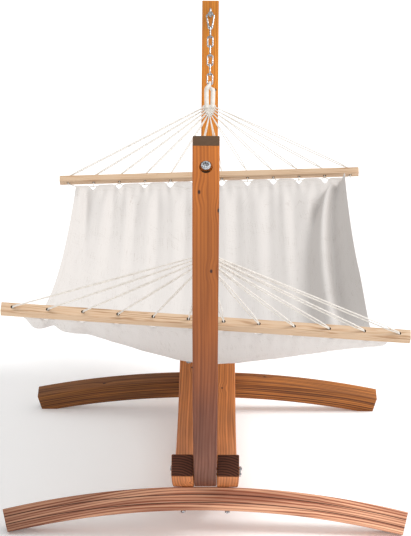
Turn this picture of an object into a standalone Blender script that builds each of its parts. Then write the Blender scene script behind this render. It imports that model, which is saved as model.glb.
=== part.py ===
"""A hammock on a curved timber stand.

Two parallel base beams and two arms follow one circle. Each arm is clamped between the beams and
carries an eye bolt near its tip. A spring hook, a chain and a rope eye hang from each eye bolt, and
twelve cords fan out from the rope eye through a wooden spreader bar to the cloth.

Metres, +Z up. X runs across the stand and Y from the front foot to the rear foot. The origin is on
the floor, in the middle of the stand.
"""
import math

import bmesh
import bpy
from mathutils import Matrix, Vector

# ---- clearances -------------------------------------------------------------------------------
TOUCH = 0.0003              # between pieces that rest on each other
BOLT_PLAY = 0.0005          # round a bolt in its hole
PIVOT_PLAY = 0.0010         # between wires that swing in each other

# ---- timber -----------------------------------------------------------------------------------
ARC_RADIUS = 1.66           # under face of the base beams, outer face of the arms
BOARD_DEPTH = 0.065         # radial depth of beams and arms
BOARD_EDGE = 0.003          # taken off the long edges
BEAM_WIDTH = 0.0625
BEAM_END_ANGLE = math.radians(30.0)
ARM_WIDTH = 0.0645
ARM_SIDE_PLAY = 0.0020      # between an arm and each beam
ARM_LOWER_ANGLE = math.radians(22.3)
ARM_TIP_ANGLE = math.radians(78.0)

FOOT_LENGTH = 1.20          # along X, over the ends
FOOT_DEPTH = 0.069          # height of the section
FOOT_WIDTH = 0.061          # section along the beams
FOOT_RISE = 0.0707          # height of the arch in a foot
FOOT_ANGLE = math.radians(20.6)
FOOT_PAD_CUT = 0.012        # how much of each low corner the floor pad takes off

# ---- fasteners of the timber --------------------------------------------------------------------
BOLT_RADIUS = 0.004
BOLT_HEAD_RADIUS = 0.0095
BOLT_HEAD_HEIGHT = 0.0045
NUT_ACROSS_FLATS = 0.013
NUT_HEIGHT = 0.0065
BOLT_TAIL = 0.0020          # thread that stands past its nut
SPOT_FACE_RADIUS = 0.0115   # level seats for heads and nuts on curved wood
SPOT_FACE_DEPTH = 0.0010
ARM_BOLT_ANGLES = (math.radians(24.2), math.radians(28.3))

# ---- eye bolts ----------------------------------------------------------------------------------
EYE_FROM_TIP = 0.054        # along the outer face
EYE_WIRE = 0.008
EYE_HOLE = 0.024
EYE_STANDOFF = 0.028        # arm's inner face to the middle of the eye
EYE_COLLAR_RADIUS = 0.010
EYE_COLLAR_HEIGHT = 0.003
COUNTERBORE_RADIUS = 0.016
COUNTERBORE_DEPTH = 0.012
WASHER_RADIUS = 0.012
WASHER_THICKNESS = 0.002

# ---- spring hooks -------------------------------------------------------------------------------
HOOK_WIRE = 0.007
HOOK_LENGTH = 0.064         # top wire to bottom wire, middle to middle
HOOK_TOP_HALF = 0.0140      # half width at the top, to the middle of the wire
HOOK_CORNER = 0.0070
HOOK_BOTTOM = 0.0070        # radius of the narrow end
NOSE_SHARE = 0.13           # where the gate meets the nose, as a share of the open side
PIVOT_SHARE = 0.78          # where the gate turns, as a share of the open side
GATE_WIRE = 0.0058
GATE_TANG = 0.0032          # thickness of the flattened end at the pin
GATE_GAP = 0.0006
CHEEK_RADIUS = 0.0042
CHEEK_THICKNESS = 0.0014
PIN_RADIUS = 0.0012

# ---- chain --------------------------------------------------------------------------------------
LINK_COUNT = 6
LINK_WIRE = 0.006
LINK_OUTER_WIDTH = 0.0255
LINK_PITCH = 0.042
LINK_PLAY = 0.0005

# ---- rope eye, knot and cords -------------------------------------------------------------------
HANG_ANGLE = math.radians(49.8)     # the hanging line, up from the level
ROPE_NECK = 0.0047          # radius of the rope where it goes through the last link
ROPE_RADIUS = 0.0088        # radius of the bound rope below it
ROPE_EYE_LENGTH = 0.100     # from the last link to the knot
ROPE_EYE_SPREAD = 0.0115    # each leg to the middle of the eye
ROPE_TURN_SHARE = 0.4       # share of a leg in which it turns its quarter and grows to full thickness
KNOT_LENGTH = 0.058
KNOT_TOP_HALF = 0.0180
KNOT_BOTTOM_HALF = 0.0250
KNOT_HALF_DEPTH = 0.0110
FAN_LENGTH = 0.246          # knot to the middle of the bar
CORD_CROWN = 0.004          # solid cord bundle below the knot before the pairs part
CORD_PAIR_WIDTH = 0.0070    # two strands side by side
CORD_THICKNESS = 0.0040
CORD_TO_CLOTH = 0.030       # bar to hem
CORD_END_PLAY = 0.003       # square cord end to the upright face of the hem

# ---- spreader bars --------------------------------------------------------------------------------
BAR_LENGTH = 1.10
BAR_HEIGHT = 0.030
BAR_THICKNESS = 0.025       # along the holes
BAR_EDGE = 0.003
BAR_HOLES = 12
BAR_HOLE_RADIUS = 0.005
BAR_END_MARGIN = 0.031      # end of the bar to the first hole
FRONT_BAR_ROLL = math.radians(3.6)      # left end up
REAR_BAR_ROLL = math.radians(-2.1)      # right end up

# ---- cloth ----------------------------------------------------------------------------------------
CLOTH_HALF_WIDTH = 0.500
CLOTH_THICKNESS = 0.002
CLOTH_SAG = 0.310           # hem to the lowest line
CLOTH_LEFT_RISE = 0.190     # how far the left edge lies above the middle, half way along
CLOTH_RIGHT_RISE = 0.135
CLOTH_TROUGH_POWER = 1.5    # 2 is a round trough, 1 a straight-sided one
CLOTH_STEPS_ALONG = 26
CLOTH_STEPS_ACROSS = 12

FRONT = -1
REAR = 1
SIDES = {"front": FRONT, "rear": REAR}

# ---- finishes: colour, roughness, metallic ----------------------------------------------------------
LARCH = ("oiled_larch", (0.50, 0.20, 0.06), 0.55, 0.0)
DARK_LARCH = ("shaded_larch", (0.34, 0.12, 0.05), 0.55, 0.0)
PALE_WOOD = ("pale_hardwood", (0.68, 0.43, 0.24), 0.60, 0.0)
STEEL = ("zinc_plated_steel", (0.66, 0.66, 0.66), 0.32, 1.0)
ROPE = ("cotton_rope", (0.90, 0.86, 0.78), 0.90, 0.0)
CANVAS = ("cotton_canvas", (0.80, 0.75, 0.70), 0.90, 0.0)


# ---- places worked out from the sizes -----------------------------------------------------------
BEAM_GAP = ARM_WIDTH + 2 * ARM_SIDE_PLAY
BEAM_MIDDLE = BEAM_GAP / 2 + BEAM_WIDTH / 2
FOOT_ARCH_RADIUS = ((FOOT_LENGTH / 2) ** 2 + FOOT_RISE ** 2) / (2 * FOOT_RISE)
FOOT_HALF_ANGLE = math.asin(FOOT_LENGTH / 2 / FOOT_ARCH_RADIUS)


def arc_centre_height():
    """Height of the circle's centre that puts the trimmed foot ends on the floor."""
    drop = FOOT_ARCH_RADIUS - (FOOT_ARCH_RADIUS - FOOT_DEPTH) * math.cos(FOOT_HALF_ANGLE)
    seat = (ARC_RADIUS + TOUCH) * math.cos(FOOT_ANGLE)
    lowest = drop * math.cos(FOOT_ANGLE) + FOOT_WIDTH / 2 * math.sin(FOOT_ANGLE)
    return seat + lowest - FOOT_PAD_CUT


ARC_CENTRE = Vector((0, 0, arc_centre_height()))
EYE_ANGLE = ARM_TIP_ANGLE - EYE_FROM_TIP / ARC_RADIUS
EYE_RADIUS = EYE_HOLE / 2 + EYE_WIRE / 2


def arc_frame(side, angle, radius):
    """Axes at a place on the circle: X across, Y along it towards the tip, Z to its centre.

    On the front side X points the other way, so that the axes stay right-handed.
    """
    along = Vector((0, side * math.cos(angle), math.sin(angle)))
    inward = Vector((0, -side * math.sin(angle), math.cos(angle)))
    return axes_at(ARC_CENTRE - radius * inward, along.cross(inward), along, inward)


def axes_at(origin, x_axis, y_axis, z_axis):
    rotation = Matrix((x_axis, y_axis, z_axis)).transposed().to_4x4()
    return Matrix.Translation(origin) @ rotation


def hang_direction(side):
    return Vector((0, -side * math.cos(HANG_ANGLE), -math.sin(HANG_ANGLE)))


def swing_point(side):
    """Middle of the eye's wire where the hook bears: the hammock swings round this."""
    eye = arc_frame(side, EYE_ANGLE, ARC_RADIUS - BOARD_DEPTH - EYE_STANDOFF)
    return eye.translation + EYE_RADIUS * hang_direction(side)


def hang_frame(side, distance=0.0):
    """Axes on the hanging line: X across, Z back up the line, at a distance from the swing point."""
    up_line = -hang_direction(side)
    across = Vector((1, 0, 0))
    origin = swing_point(side) - distance * up_line
    return axes_at(origin, across, up_line.cross(across), up_line)


HOOK_TOP = -(EYE_WIRE / 2 + HOOK_WIRE / 2 + PIVOT_PLAY)
HOOK_END = HOOK_TOP + HOOK_LENGTH
LINK_RADIUS = LINK_OUTER_WIDTH / 2 - LINK_WIRE / 2
LINK_LENGTH = LINK_PITCH + LINK_WIRE + LINK_PLAY
FIRST_LINK = HOOK_END - HOOK_WIRE / 2 - LINK_WIRE / 2 - LINK_PLAY
CHAIN_END = FIRST_LINK + (LINK_COUNT - 1) * LINK_PITCH + LINK_LENGTH
ROPE_TOP = CHAIN_END - LINK_WIRE / 2 - ROPE_NECK - PIVOT_PLAY
KNOT_TOP = ROPE_TOP + ROPE_EYE_LENGTH
KNOT_END = KNOT_TOP + KNOT_LENGTH
BAR_DISTANCE = KNOT_END + FAN_LENGTH


def bar_frame(side):
    """Axes of a spreader bar: X along it, Y through its holes towards the cloth, Z across both."""
    roll = FRONT_BAR_ROLL if side == FRONT else REAR_BAR_ROLL
    along = Vector((math.cos(roll), 0, -math.sin(roll)))
    down = hang_direction(side)
    through = (down - down.dot(along) * along).normalized()
    origin = swing_point(side) + BAR_DISTANCE * down
    return axes_at(origin, along, through, along.cross(through))


def hole_places():
    reach = BAR_LENGTH / 2 - BAR_END_MARGIN
    return [-reach + 2 * reach * i / (BAR_HOLES - 1) for i in range(BAR_HOLES)]


# ---- scene and finishes -----------------------------------------------------------------------------
def clear_scene():
    for old in list(bpy.data.objects):
        bpy.data.objects.remove(old, do_unlink=True)


def finish(spec):
    name, colour, roughness, metallic = spec
    material = bpy.data.materials.get(name)
    if material is None:
        material = bpy.data.materials.new(name)
        material.use_nodes = True
        shader = material.node_tree.nodes["Principled BSDF"]
        shader.inputs["Base Color"].default_value = (*colour, 1)
        shader.inputs["Roughness"].default_value = roughness
        shader.inputs["Metallic"].default_value = metallic
        material.diffuse_color = (*colour, 1)
    return material


def add_object(name, shape, placement, spec):
    """Turn a bmesh into a named object with its own finish."""
    mesh = bpy.data.meshes.new(name)
    bmesh.ops.recalc_face_normals(shape, faces=shape.faces)
    shape.to_mesh(mesh)
    shape.free()
    mesh.shade_smooth()
    mesh.set_sharp_from_angle(angle=math.radians(35))
    piece = bpy.data.objects.new(name, mesh)
    piece.matrix_world = placement
    if spec:
        mesh.materials.append(finish(spec))
    bpy.context.collection.objects.link(piece)
    return piece


def add_tool(name, shape, placement):
    """A hidden object that cuts or adds to another."""
    tool = add_object(name, shape, placement, None)
    tool.hide_render = True
    tool.display_type = "WIRE"
    return tool


def combine(piece, tool, operation):
    modifier = piece.modifiers.new(tool.name, "BOOLEAN")
    modifier.operation = operation
    modifier.solver = "EXACT"
    modifier.object = tool
    tool.parent = piece
    tool.matrix_parent_inverse = piece.matrix_world.inverted()


def hang_on(piece, pivot):
    piece.parent = pivot
    piece.matrix_parent_inverse = pivot.matrix_world.inverted()


def add_pivot(name, place):
    pivot = bpy.data.objects.new(name, None)
    pivot.empty_display_size = 0.05
    pivot.matrix_world = Matrix.Translation(place)
    bpy.context.collection.objects.link(pivot)
    return pivot


# ---- shapes -----------------------------------------------------------------------------------------
def loft(rings, closed=False, shape=None):
    """Skin a row of rings that have the same number of points, with caps unless it is closed."""
    shape = shape or bmesh.new()
    rows = [[shape.verts.new(point) for point in ring] for ring in rings]
    count = len(rows[0])
    pairs = list(zip(rows, rows[1:]))
    if closed:
        pairs.append((rows[-1], rows[0]))
    for row, following in pairs:
        for i in range(count):
            j = (i + 1) % count
            shape.faces.new((row[i], row[j], following[j], following[i]))
    if not closed:
        shape.faces.new(list(reversed(rows[0])))
        shape.faces.new(rows[-1])
    return shape


def edged_rectangle(width, height, edge):
    """Outline of a rectangle with its corners taken off, around the origin."""
    x, y = width / 2, height / 2
    return [(x, y - edge), (x - edge, y), (edge - x, y), (-x, y - edge),
            (-x, edge - y), (edge - x, -y), (x - edge, -y), (x, edge - y)]


def curved_board(width, outer_radius, depth, start, end, steps):
    """A board bent round the X axis. Angles go from straight down towards +Y."""
    outline = edged_rectangle(width, depth, BOARD_EDGE)
    middle = outer_radius - depth / 2
    rings = []
    for step in range(steps + 1):
        angle = start + (end - start) * step / steps
        rings.append([Vector((x, (middle - y) * math.sin(angle), -(middle - y) * math.cos(angle)))
                      for x, y in outline])
    return loft(rings)


def tube(path, radii, sides, closed=False):
    """A round bar along a path. Its rings turn as little as they can on the way."""
    points = [Vector(point) for point in path]
    count = len(points)
    tangents = []
    for i in range(count):
        before = points[i - 1] if closed or i > 0 else points[i]
        after = points[(i + 1) % count] if closed or i < count - 1 else points[i]
        tangents.append((after - before).normalized())
    normal = tangents[0].orthogonal().normalized()
    normals = [normal]
    for before, tangent in zip(tangents, tangents[1:]):
        normal = before.rotation_difference(tangent) @ normals[-1]
        normals.append(normal)
    back = tangents[-1].rotation_difference(tangents[0]) @ normals[-1]
    twist = back.angle(normals[0])
    if back.cross(normals[0]).dot(tangents[0]) < 0:
        twist = -twist
    rings = []
    for i, (point, tangent, normal) in enumerate(zip(points, tangents, normals)):
        radius = radii[i] if hasattr(radii, "__len__") else radii
        turn = Matrix.Rotation(twist * i / count if closed else 0, 3, tangent)
        first = turn @ normal
        second = tangent.cross(first)
        rings.append([point + radius * (math.cos(a) * first + math.sin(a) * second)
                      for a in (math.tau * k / sides for k in range(sides))])
    return loft(rings, closed)


def turned(profile, sides):
    """A solid turned round Z from (radius, height) points, first and last on the axis."""
    shape = bmesh.new()
    low = shape.verts.new((0, 0, profile[0][1]))
    high = shape.verts.new((0, 0, profile[-1][1]))
    rows = []
    for radius, height in profile[1:-1]:
        rows.append([shape.verts.new((radius * math.cos(a), radius * math.sin(a), height))
                     for a in (math.tau * k / sides for k in range(sides))])
    for k in range(sides):
        j = (k + 1) % sides
        shape.faces.new((low, rows[0][j], rows[0][k]))
        for row, following in zip(rows, rows[1:]):
            shape.faces.new((row[k], row[j], following[j], following[k]))
        shape.faces.new((rows[-1][k], rows[-1][j], high))
    return shape


def rod(radius, bottom, top, sides=12):
    return turned([(0, bottom), (radius, bottom), (radius, top), (0, top)], sides)


def bored_ring(outer, bore, bottom, top):
    """A flat ring or a nut: outer and bore are outlines with the same number of points."""
    shape = bmesh.new()
    rings = [(outer, bottom), (outer, top), (bore, top), (bore, bottom)]
    rows = [[shape.verts.new((x, y, height)) for x, y in outline] for outline, height in rings]
    count = len(outer)
    for row, following in zip(rows, rows[1:] + rows[:1]):
        for i in range(count):
            j = (i + 1) % count
            shape.faces.new((row[i], row[j], following[j], following[i]))
    return shape


def circle(radius, sides):
    return [(radius * math.cos(math.tau * k / sides), radius * math.sin(math.tau * k / sides))
            for k in range(sides)]


def hexagon(across_flats, points_per_side=2):
    """A hexagon with extra points on its sides, to pair with a rounder bore."""
    corners = circle(across_flats / math.sqrt(3), 6)
    points = []
    for (x0, y0), (x1, y1) in zip(corners, corners[1:] + corners[:1]):
        for step in range(points_per_side):
            share = step / points_per_side
            points.append((x0 + (x1 - x0) * share, y0 + (y1 - y0) * share))
    return points


def rods_between(ends, radius, sides=12):
    """Several separate round bars in one shape, each from a start to an end."""
    shape = bmesh.new()
    for start, end in ends:
        axis = (end - start).normalized()
        first = axis.orthogonal().normalized()
        second = axis.cross(first)
        rings = [[place + radius * (math.cos(a) * first + math.sin(a) * second)
                  for a in (math.tau * k / sides for k in range(sides))] for place in (start, end)]
        loft(rings, shape=shape)
    return shape


def flat_plate(outline, bottom, top):
    """An outline in X and Y carried up from bottom to top."""
    return loft([[Vector((x, y, height)) for x, y in outline] for height in (bottom, top)])


# ---- timber -----------------------------------------------------------------------------------------
def drill(piece, name, ends, radius, sides=12):
    tool = add_tool(name, rods_between(ends, radius, sides), Matrix.Identity(4))
    combine(piece, tool, "DIFFERENCE")


def arm_bolt_place(side, angle):
    return arc_frame(side, angle, ARC_RADIUS - BOARD_DEPTH / 2).translation


def foot_frame(side):
    """Axes of a foot at the middle of its top face: X along it, Z out of the top face."""
    return arc_frame(side, FOOT_ANGLE, ARC_RADIUS + TOUCH)


def foot_bolt_ends(side, across):
    """Spot face on a beam's top to spot face under the foot, through the middle of the beam."""
    frame = arc_frame(side, FOOT_ANGLE, ARC_RADIUS)
    inward = frame.to_3x3().col[2]
    place = frame.translation + Vector((across, 0, 0))
    under = TOUCH + foot_drop(abs(across) + SPOT_FACE_RADIUS) + FOOT_DEPTH
    return (place + (BOARD_DEPTH - SPOT_FACE_DEPTH) * inward,
            place - (under - SPOT_FACE_DEPTH) * inward)


def foot_drop(across):
    """How far the arched foot has dropped at a distance from its middle."""
    return FOOT_ARCH_RADIUS - math.sqrt(FOOT_ARCH_RADIUS ** 2 - across ** 2)


def build_timber():
    at_centre = Matrix.Translation(ARC_CENTRE)
    reach = 0.02                    # how far a drill runs past the wood
    half_span = BEAM_MIDDLE + BEAM_WIDTH / 2 + reach
    across = Vector((half_span, 0, 0))
    bolt_lines = [(arm_bolt_place(side, angle) - across, arm_bolt_place(side, angle) + across)
                  for side in SIDES.values() for angle in ARM_BOLT_ANGLES]
    for name, sign in (("left", -1), ("right", 1)):
        board = curved_board(BEAM_WIDTH, ARC_RADIUS, BOARD_DEPTH, -BEAM_END_ANGLE, BEAM_END_ANGLE, 30)
        middle = sign * BEAM_MIDDLE
        beam = add_object("base_beam_" + name, board, at_centre @ Matrix.Translation((middle, 0, 0)),
                          DARK_LARCH)
        foot_lines = []
        seats = []
        for side in SIDES.values():
            top, bottom = foot_bolt_ends(side, middle)
            beyond = (top - bottom).normalized() * reach
            foot_lines.append((top + beyond, bottom - beyond))
            seats.append((top, top + beyond))
        drill(beam, "drill_beam_" + name, bolt_lines + foot_lines, BOLT_RADIUS + BOLT_PLAY)
        drill(beam, "spot_face_beam_" + name, seats, SPOT_FACE_RADIUS, 16)

    for name, side in SIDES.items():
        start, end = sorted((side * ARM_LOWER_ANGLE, side * ARM_TIP_ANGLE))
        arm = add_object("arm_" + name,
                         curved_board(ARM_WIDTH, ARC_RADIUS, BOARD_DEPTH, start, end, 28),
                         at_centre, LARCH)
        own_lines = [line for line in bolt_lines if line[0].y * side > 0]
        drill(arm, "drill_arm_" + name, own_lines, BOLT_RADIUS + BOLT_PLAY)
        eye = arc_frame(side, EYE_ANGLE, ARC_RADIUS)
        inward = eye.to_3x3().col[2]
        face = eye.translation
        drill(arm, "drill_eye_" + name, [(face - reach * inward, face + (BOARD_DEPTH + reach) * inward)],
              BOLT_RADIUS + BOLT_PLAY)
        drill(arm, "counterbore_" + name, [(face - reach * inward, face + COUNTERBORE_DEPTH * inward)],
              COUNTERBORE_RADIUS, 24)

    for name, side in SIDES.items():
        build_foot(name, side, reach)


def build_foot(name, side, reach):
    """A foot bent to an arch, square to the beams, with its low ends cut level with the floor."""
    outline = edged_rectangle(FOOT_WIDTH, FOOT_DEPTH, BOARD_EDGE)
    middle = FOOT_ARCH_RADIUS - FOOT_DEPTH / 2
    steps = 28
    rings = []
    for step in range(steps + 1):
        angle = FOOT_HALF_ANGLE * (2 * step / steps - 1)
        rings.append([Vector(((middle + y) * math.sin(angle), x,
                              (middle + y) * math.cos(angle) - FOOT_ARCH_RADIUS)) for x, y in outline])
    foot = add_object("foot_" + name, loft(rings), foot_frame(side), LARCH)
    lines = []
    seats = []
    for across in (-BEAM_MIDDLE, BEAM_MIDDLE):
        top, bottom = foot_bolt_ends(side, across)
        beyond = (top - bottom).normalized() * reach
        lines.append((top + beyond, bottom - beyond))
        seats.append((bottom, bottom - beyond))
    drill(foot, "drill_foot_" + name, lines, BOLT_RADIUS + BOLT_PLAY)
    drill(foot, "spot_face_foot_" + name, seats, SPOT_FACE_RADIUS, 16)
    size = FOOT_LENGTH + 2 * reach
    ground = flat_plate([(-size / 2, -size / 2), (size / 2, -size / 2), (size / 2, size / 2),
                         (-size / 2, size / 2)], -0.1, 0)
    place = Vector((0, foot_frame(side).translation.y, 0))
    combine(foot, add_tool("floor_cut_" + name, ground, Matrix.Translation(place)), "DIFFERENCE")


# ---- fasteners of the timber --------------------------------------------------------------------------
def frame_between(start, end):
    """Axes at the start with Z pointing to the end."""
    up = (end - start).normalized()
    across = up.orthogonal().normalized()
    return axes_at(start, across, up.cross(across), up)


def add_bolt_and_nut(name, start, end):
    """A domed bolt with its head at the start and a nut where it comes out at the end."""
    length = (end - start).length
    dome = [(BOLT_HEAD_RADIUS * math.cos(a), -TOUCH - BOLT_HEAD_HEIGHT * math.sin(a))
            for a in (math.radians(60), math.radians(25))]
    tip = length + TOUCH + NUT_HEIGHT + BOLT_TAIL
    profile = [(0, -TOUCH - BOLT_HEAD_HEIGHT), *dome, (BOLT_HEAD_RADIUS, -TOUCH),
               (BOLT_RADIUS, -TOUCH), (BOLT_RADIUS, tip - 0.001), (BOLT_RADIUS - 0.001, tip), (0, tip)]
    frame = frame_between(start, end)
    add_object(name, turned(profile, 12), frame, STEEL)
    nut = bored_ring(hexagon(NUT_ACROSS_FLATS), circle(BOLT_RADIUS + TOUCH, 12),
                     length + TOUCH, length + TOUCH + NUT_HEIGHT)
    add_object(name.replace("bolt", "nut"), nut, frame, STEEL)


def build_fasteners():
    half_span = Vector((BEAM_MIDDLE + BEAM_WIDTH / 2, 0, 0))
    for name, side in SIDES.items():
        for place, angle in zip(("lower", "upper"), ARM_BOLT_ANGLES):
            middle = arm_bolt_place(side, angle)
            add_bolt_and_nut(f"arm_bolt_{name}_{place}", middle - half_span, middle + half_span)
        for hand, across in (("left", -BEAM_MIDDLE), ("right", BEAM_MIDDLE)):
            add_bolt_and_nut(f"foot_bolt_{name}_{hand}", *foot_bolt_ends(side, across))


# ---- eye bolts ----------------------------------------------------------------------------------------
def build_eye_bolt(name, side):
    """The eye stands off the arm's inner face, and the nut sits in the outer face's counterbore."""
    frame = arc_frame(side, EYE_ANGLE, ARC_RADIUS - BOARD_DEPTH)
    nut_seat = -(BOARD_DEPTH - COUNTERBORE_DEPTH)
    washer_top = nut_seat - TOUCH
    washer_bottom = washer_top - WASHER_THICKNESS
    nut_top = washer_bottom - TOUCH
    tail = nut_top - NUT_HEIGHT - BOLT_TAIL
    neck = EYE_STANDOFF - EYE_RADIUS
    profile = [(0, tail), (BOLT_RADIUS, tail), (BOLT_RADIUS, TOUCH), (EYE_COLLAR_RADIUS, TOUCH),
               (EYE_COLLAR_RADIUS, TOUCH + EYE_COLLAR_HEIGHT), (BOLT_RADIUS, TOUCH + EYE_COLLAR_HEIGHT),
               (BOLT_RADIUS, neck), (0, neck)]
    bolt = add_object("eye_bolt_" + name, turned(profile, 12), frame, STEEL)
    ring_path = [(0, EYE_RADIUS * math.sin(a), EYE_STANDOFF - EYE_RADIUS * math.cos(a))
                 for a in (math.tau * k / 20 for k in range(20))]
    ring = add_tool("eye_ring_" + name, tube(ring_path, EYE_WIRE / 2, 8, closed=True), frame)
    combine(bolt, ring, "UNION")
    washer = bored_ring(circle(WASHER_RADIUS, 16), circle(BOLT_RADIUS + TOUCH, 16),
                        washer_bottom, washer_top)
    add_object("eye_washer_" + name, washer, frame, STEEL)
    nut = bored_ring(hexagon(NUT_ACROSS_FLATS), circle(BOLT_RADIUS + TOUCH, 12),
                     nut_top - NUT_HEIGHT, nut_top)
    add_object("eye_nut_" + name, nut, frame, STEEL)


# ---- spring hooks: X across the hook, Z up the line ---------------------------------------------------
def hook_side(share):
    """A point on the hook's open side, from its top corner (0) to the narrow end (1)."""
    top = Vector((-HOOK_TOP_HALF, 0, -(HOOK_TOP + HOOK_CORNER)))
    bottom = Vector((-HOOK_BOTTOM, 0, -(HOOK_END - HOOK_BOTTOM)))
    return top.lerp(bottom, share)


def arc_points(centre_x, centre_z, radius, start, end, steps):
    angles = [math.radians(start + (end - start) * k / steps) for k in range(steps + 1)]
    return [Vector((centre_x + radius * math.cos(a), 0, centre_z + radius * math.sin(a)))
            for a in angles]


def hook_path():
    corner_x = HOOK_TOP_HALF - HOOK_CORNER
    corner_z = -(HOOK_TOP + HOOK_CORNER)
    bottom_z = -(HOOK_END - HOOK_BOTTOM)
    pivot = hook_side(PIVOT_SHARE)
    below = (hook_side(1) - hook_side(0)).normalized()
    path = [hook_side(NOSE_SHARE)]
    path += arc_points(-corner_x, corner_z, HOOK_CORNER, 180, 90, 4)
    path += arc_points(corner_x, corner_z, HOOK_CORNER, 90, 0, 4)
    path += arc_points(0, bottom_z, HOOK_BOTTOM, 0, -180, 8)
    path.append(pivot + (CHEEK_RADIUS + GATE_GAP) * below)
    return path


def side_plate(length, radius, bottom, top):
    """A plate with one round end about the origin and the other end square, along -X."""
    outline = [(radius * math.cos(a), radius * math.sin(a))
               for a in (math.radians(90 - 30 * k) for k in range(7))]
    outline += [(-length, -radius), (-length, radius)]
    return flat_plate(outline, bottom, top)


def build_hook(name, side, pivot_empty):
    frame = hang_frame(side)
    hook = add_object("spring_hook_" + name, tube(hook_path(), HOOK_WIRE / 2, 8), frame, STEEL)
    hang_on(hook, pivot_empty)

    up_side = (hook_side(0) - hook_side(1)).normalized()
    normal = Vector((0, 1, 0))
    place = hook_side(PIVOT_SHARE)
    pin_frame = frame @ axes_at(place, up_side, normal.cross(up_side), normal)
    inner = GATE_TANG / 2 + TOUCH
    outer = inner + CHEEK_THICKNESS
    reach = CHEEK_RADIUS + GATE_GAP + 0.003
    for label, bottom, top in (("a", inner, outer), ("b", -outer, -inner)):
        cheek = add_tool(f"cheek_{name}_{label}", side_plate(reach, CHEEK_RADIUS * 0.8, bottom, top),
                         pin_frame)
        combine(hook, cheek, "UNION")
    pin = add_tool("gate_pin_" + name, rod(PIN_RADIUS, -outer - 0.0004, outer + 0.0004, 8), pin_frame)
    combine(hook, pin, "UNION")

    rod_start = CHEEK_RADIUS + GATE_GAP
    rod_end = (hook_side(PIVOT_SHARE) - hook_side(NOSE_SHARE)).length - GATE_GAP
    outline = [(CHEEK_RADIUS * 0.8 * math.cos(a), CHEEK_RADIUS * 0.8 * math.sin(a))
               for a in (math.radians(270 - 30 * k) for k in range(7))]
    outline += [(rod_start + 0.002, CHEEK_RADIUS * 0.8 - 0.001),
                (rod_start + 0.002, -CHEEK_RADIUS * 0.8 + 0.001)]
    gate = add_object("hook_gate_" + name, flat_plate(outline, -GATE_TANG / 2, GATE_TANG / 2),
                      pin_frame, STEEL)
    arm = tube([(rod_start, 0, 0), (rod_start + 0.002, 0, 0), (rod_end, 0, 0)], GATE_WIRE / 2, 8)
    combine(gate, add_tool("gate_arm_" + name, arm, pin_frame), "UNION")
    combine(gate, add_tool("gate_bore_" + name, rod(PIN_RADIUS + TOUCH, -0.01, 0.01, 8), pin_frame),
            "DIFFERENCE")
    hang_on(gate, pivot_empty)


# ---- chain --------------------------------------------------------------------------------------------
def build_chain(name, side, pivot_empty):
    """Links hang in each other, each a quarter turn from the one above. The first is edge on."""
    straight = LINK_LENGTH - 2 * LINK_RADIUS
    half = straight / 2
    path = arc_points(0, half, LINK_RADIUS, 0, 180, 6) + arc_points(0, -half, LINK_RADIUS, 180, 360, 6)
    for number in range(LINK_COUNT):
        turn = Matrix.Rotation(math.radians(90 * ((number + 1) % 2)), 4, "Z")
        middle = FIRST_LINK + number * LINK_PITCH + LINK_LENGTH / 2
        link = add_object(f"chain_link_{name}_{number + 1}", tube(path, LINK_WIRE / 2, 8, closed=True),
                          hang_frame(side, middle) @ turn, STEEL)
        hang_on(link, pivot_empty)


# ---- rope eye, cords, bars and cloth ------------------------------------------------------------------
def rope_eye_path():
    """The rope goes through the last link, and its legs turn to lie side by side below it.

    The turn is a quarter, so that the eye faces across the stand. Z is up the line, from the top
    of the rope.
    """
    over = LINK_WIRE / 2 + ROPE_NECK + PIVOT_PLAY
    path = []
    radii = []
    for step in range(9):
        angle = math.radians(-40 + 260 * step / 8)
        path.append(Vector((0, over * math.cos(angle), over * math.sin(angle) - over)))
        radii.append(ROPE_NECK)
    steps = 10
    bottom = -(ROPE_EYE_LENGTH + 0.3 * KNOT_LENGTH)
    start = path[0]
    leg = []
    for step in range(1, steps + 1):
        share = step / steps
        turned_share = min(1.0, share / ROPE_TURN_SHARE)
        turn = math.radians(90 * turned_share)
        half_gap = start.y + (ROPE_EYE_SPREAD - start.y) * turned_share
        leg.append((half_gap * math.sin(turn), half_gap * math.cos(turn),
                    start.z + (bottom - start.z) * share,
                    ROPE_NECK + (ROPE_RADIUS - ROPE_NECK) * turned_share))
    first_leg = [Vector((across, depth, height)) for across, depth, height, _ in reversed(leg)]
    last_leg = [Vector((-across, -depth, height)) for across, depth, height, _ in leg]
    leg_radii = [radius for *_, radius in leg]
    return first_leg + path + last_leg, leg_radii[::-1] + radii + leg_radii


def build_rope_eye(name, side, pivot_empty):
    path, radii = rope_eye_path()
    rope = add_object("rope_eye_" + name, tube(path, radii, 10), hang_frame(side, ROPE_TOP), ROPE)
    bars = bar_frame(side)
    root = bars.inverted() @ (swing_point(side) + KNOT_END * hang_direction(side))
    outlines = []
    for distance, half in ((-KNOT_LENGTH, KNOT_TOP_HALF), (0, KNOT_BOTTOM_HALF)):
        section = edged_rectangle(2 * half, 2 * KNOT_HALF_DEPTH, 0.006)
        outlines.append([Vector((root.x + x, root.y + distance, y)) for x, y in section])
    combine(rope, add_tool("knot_" + name, loft(outlines), bars), "UNION")
    hang_on(rope, pivot_empty)


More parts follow.
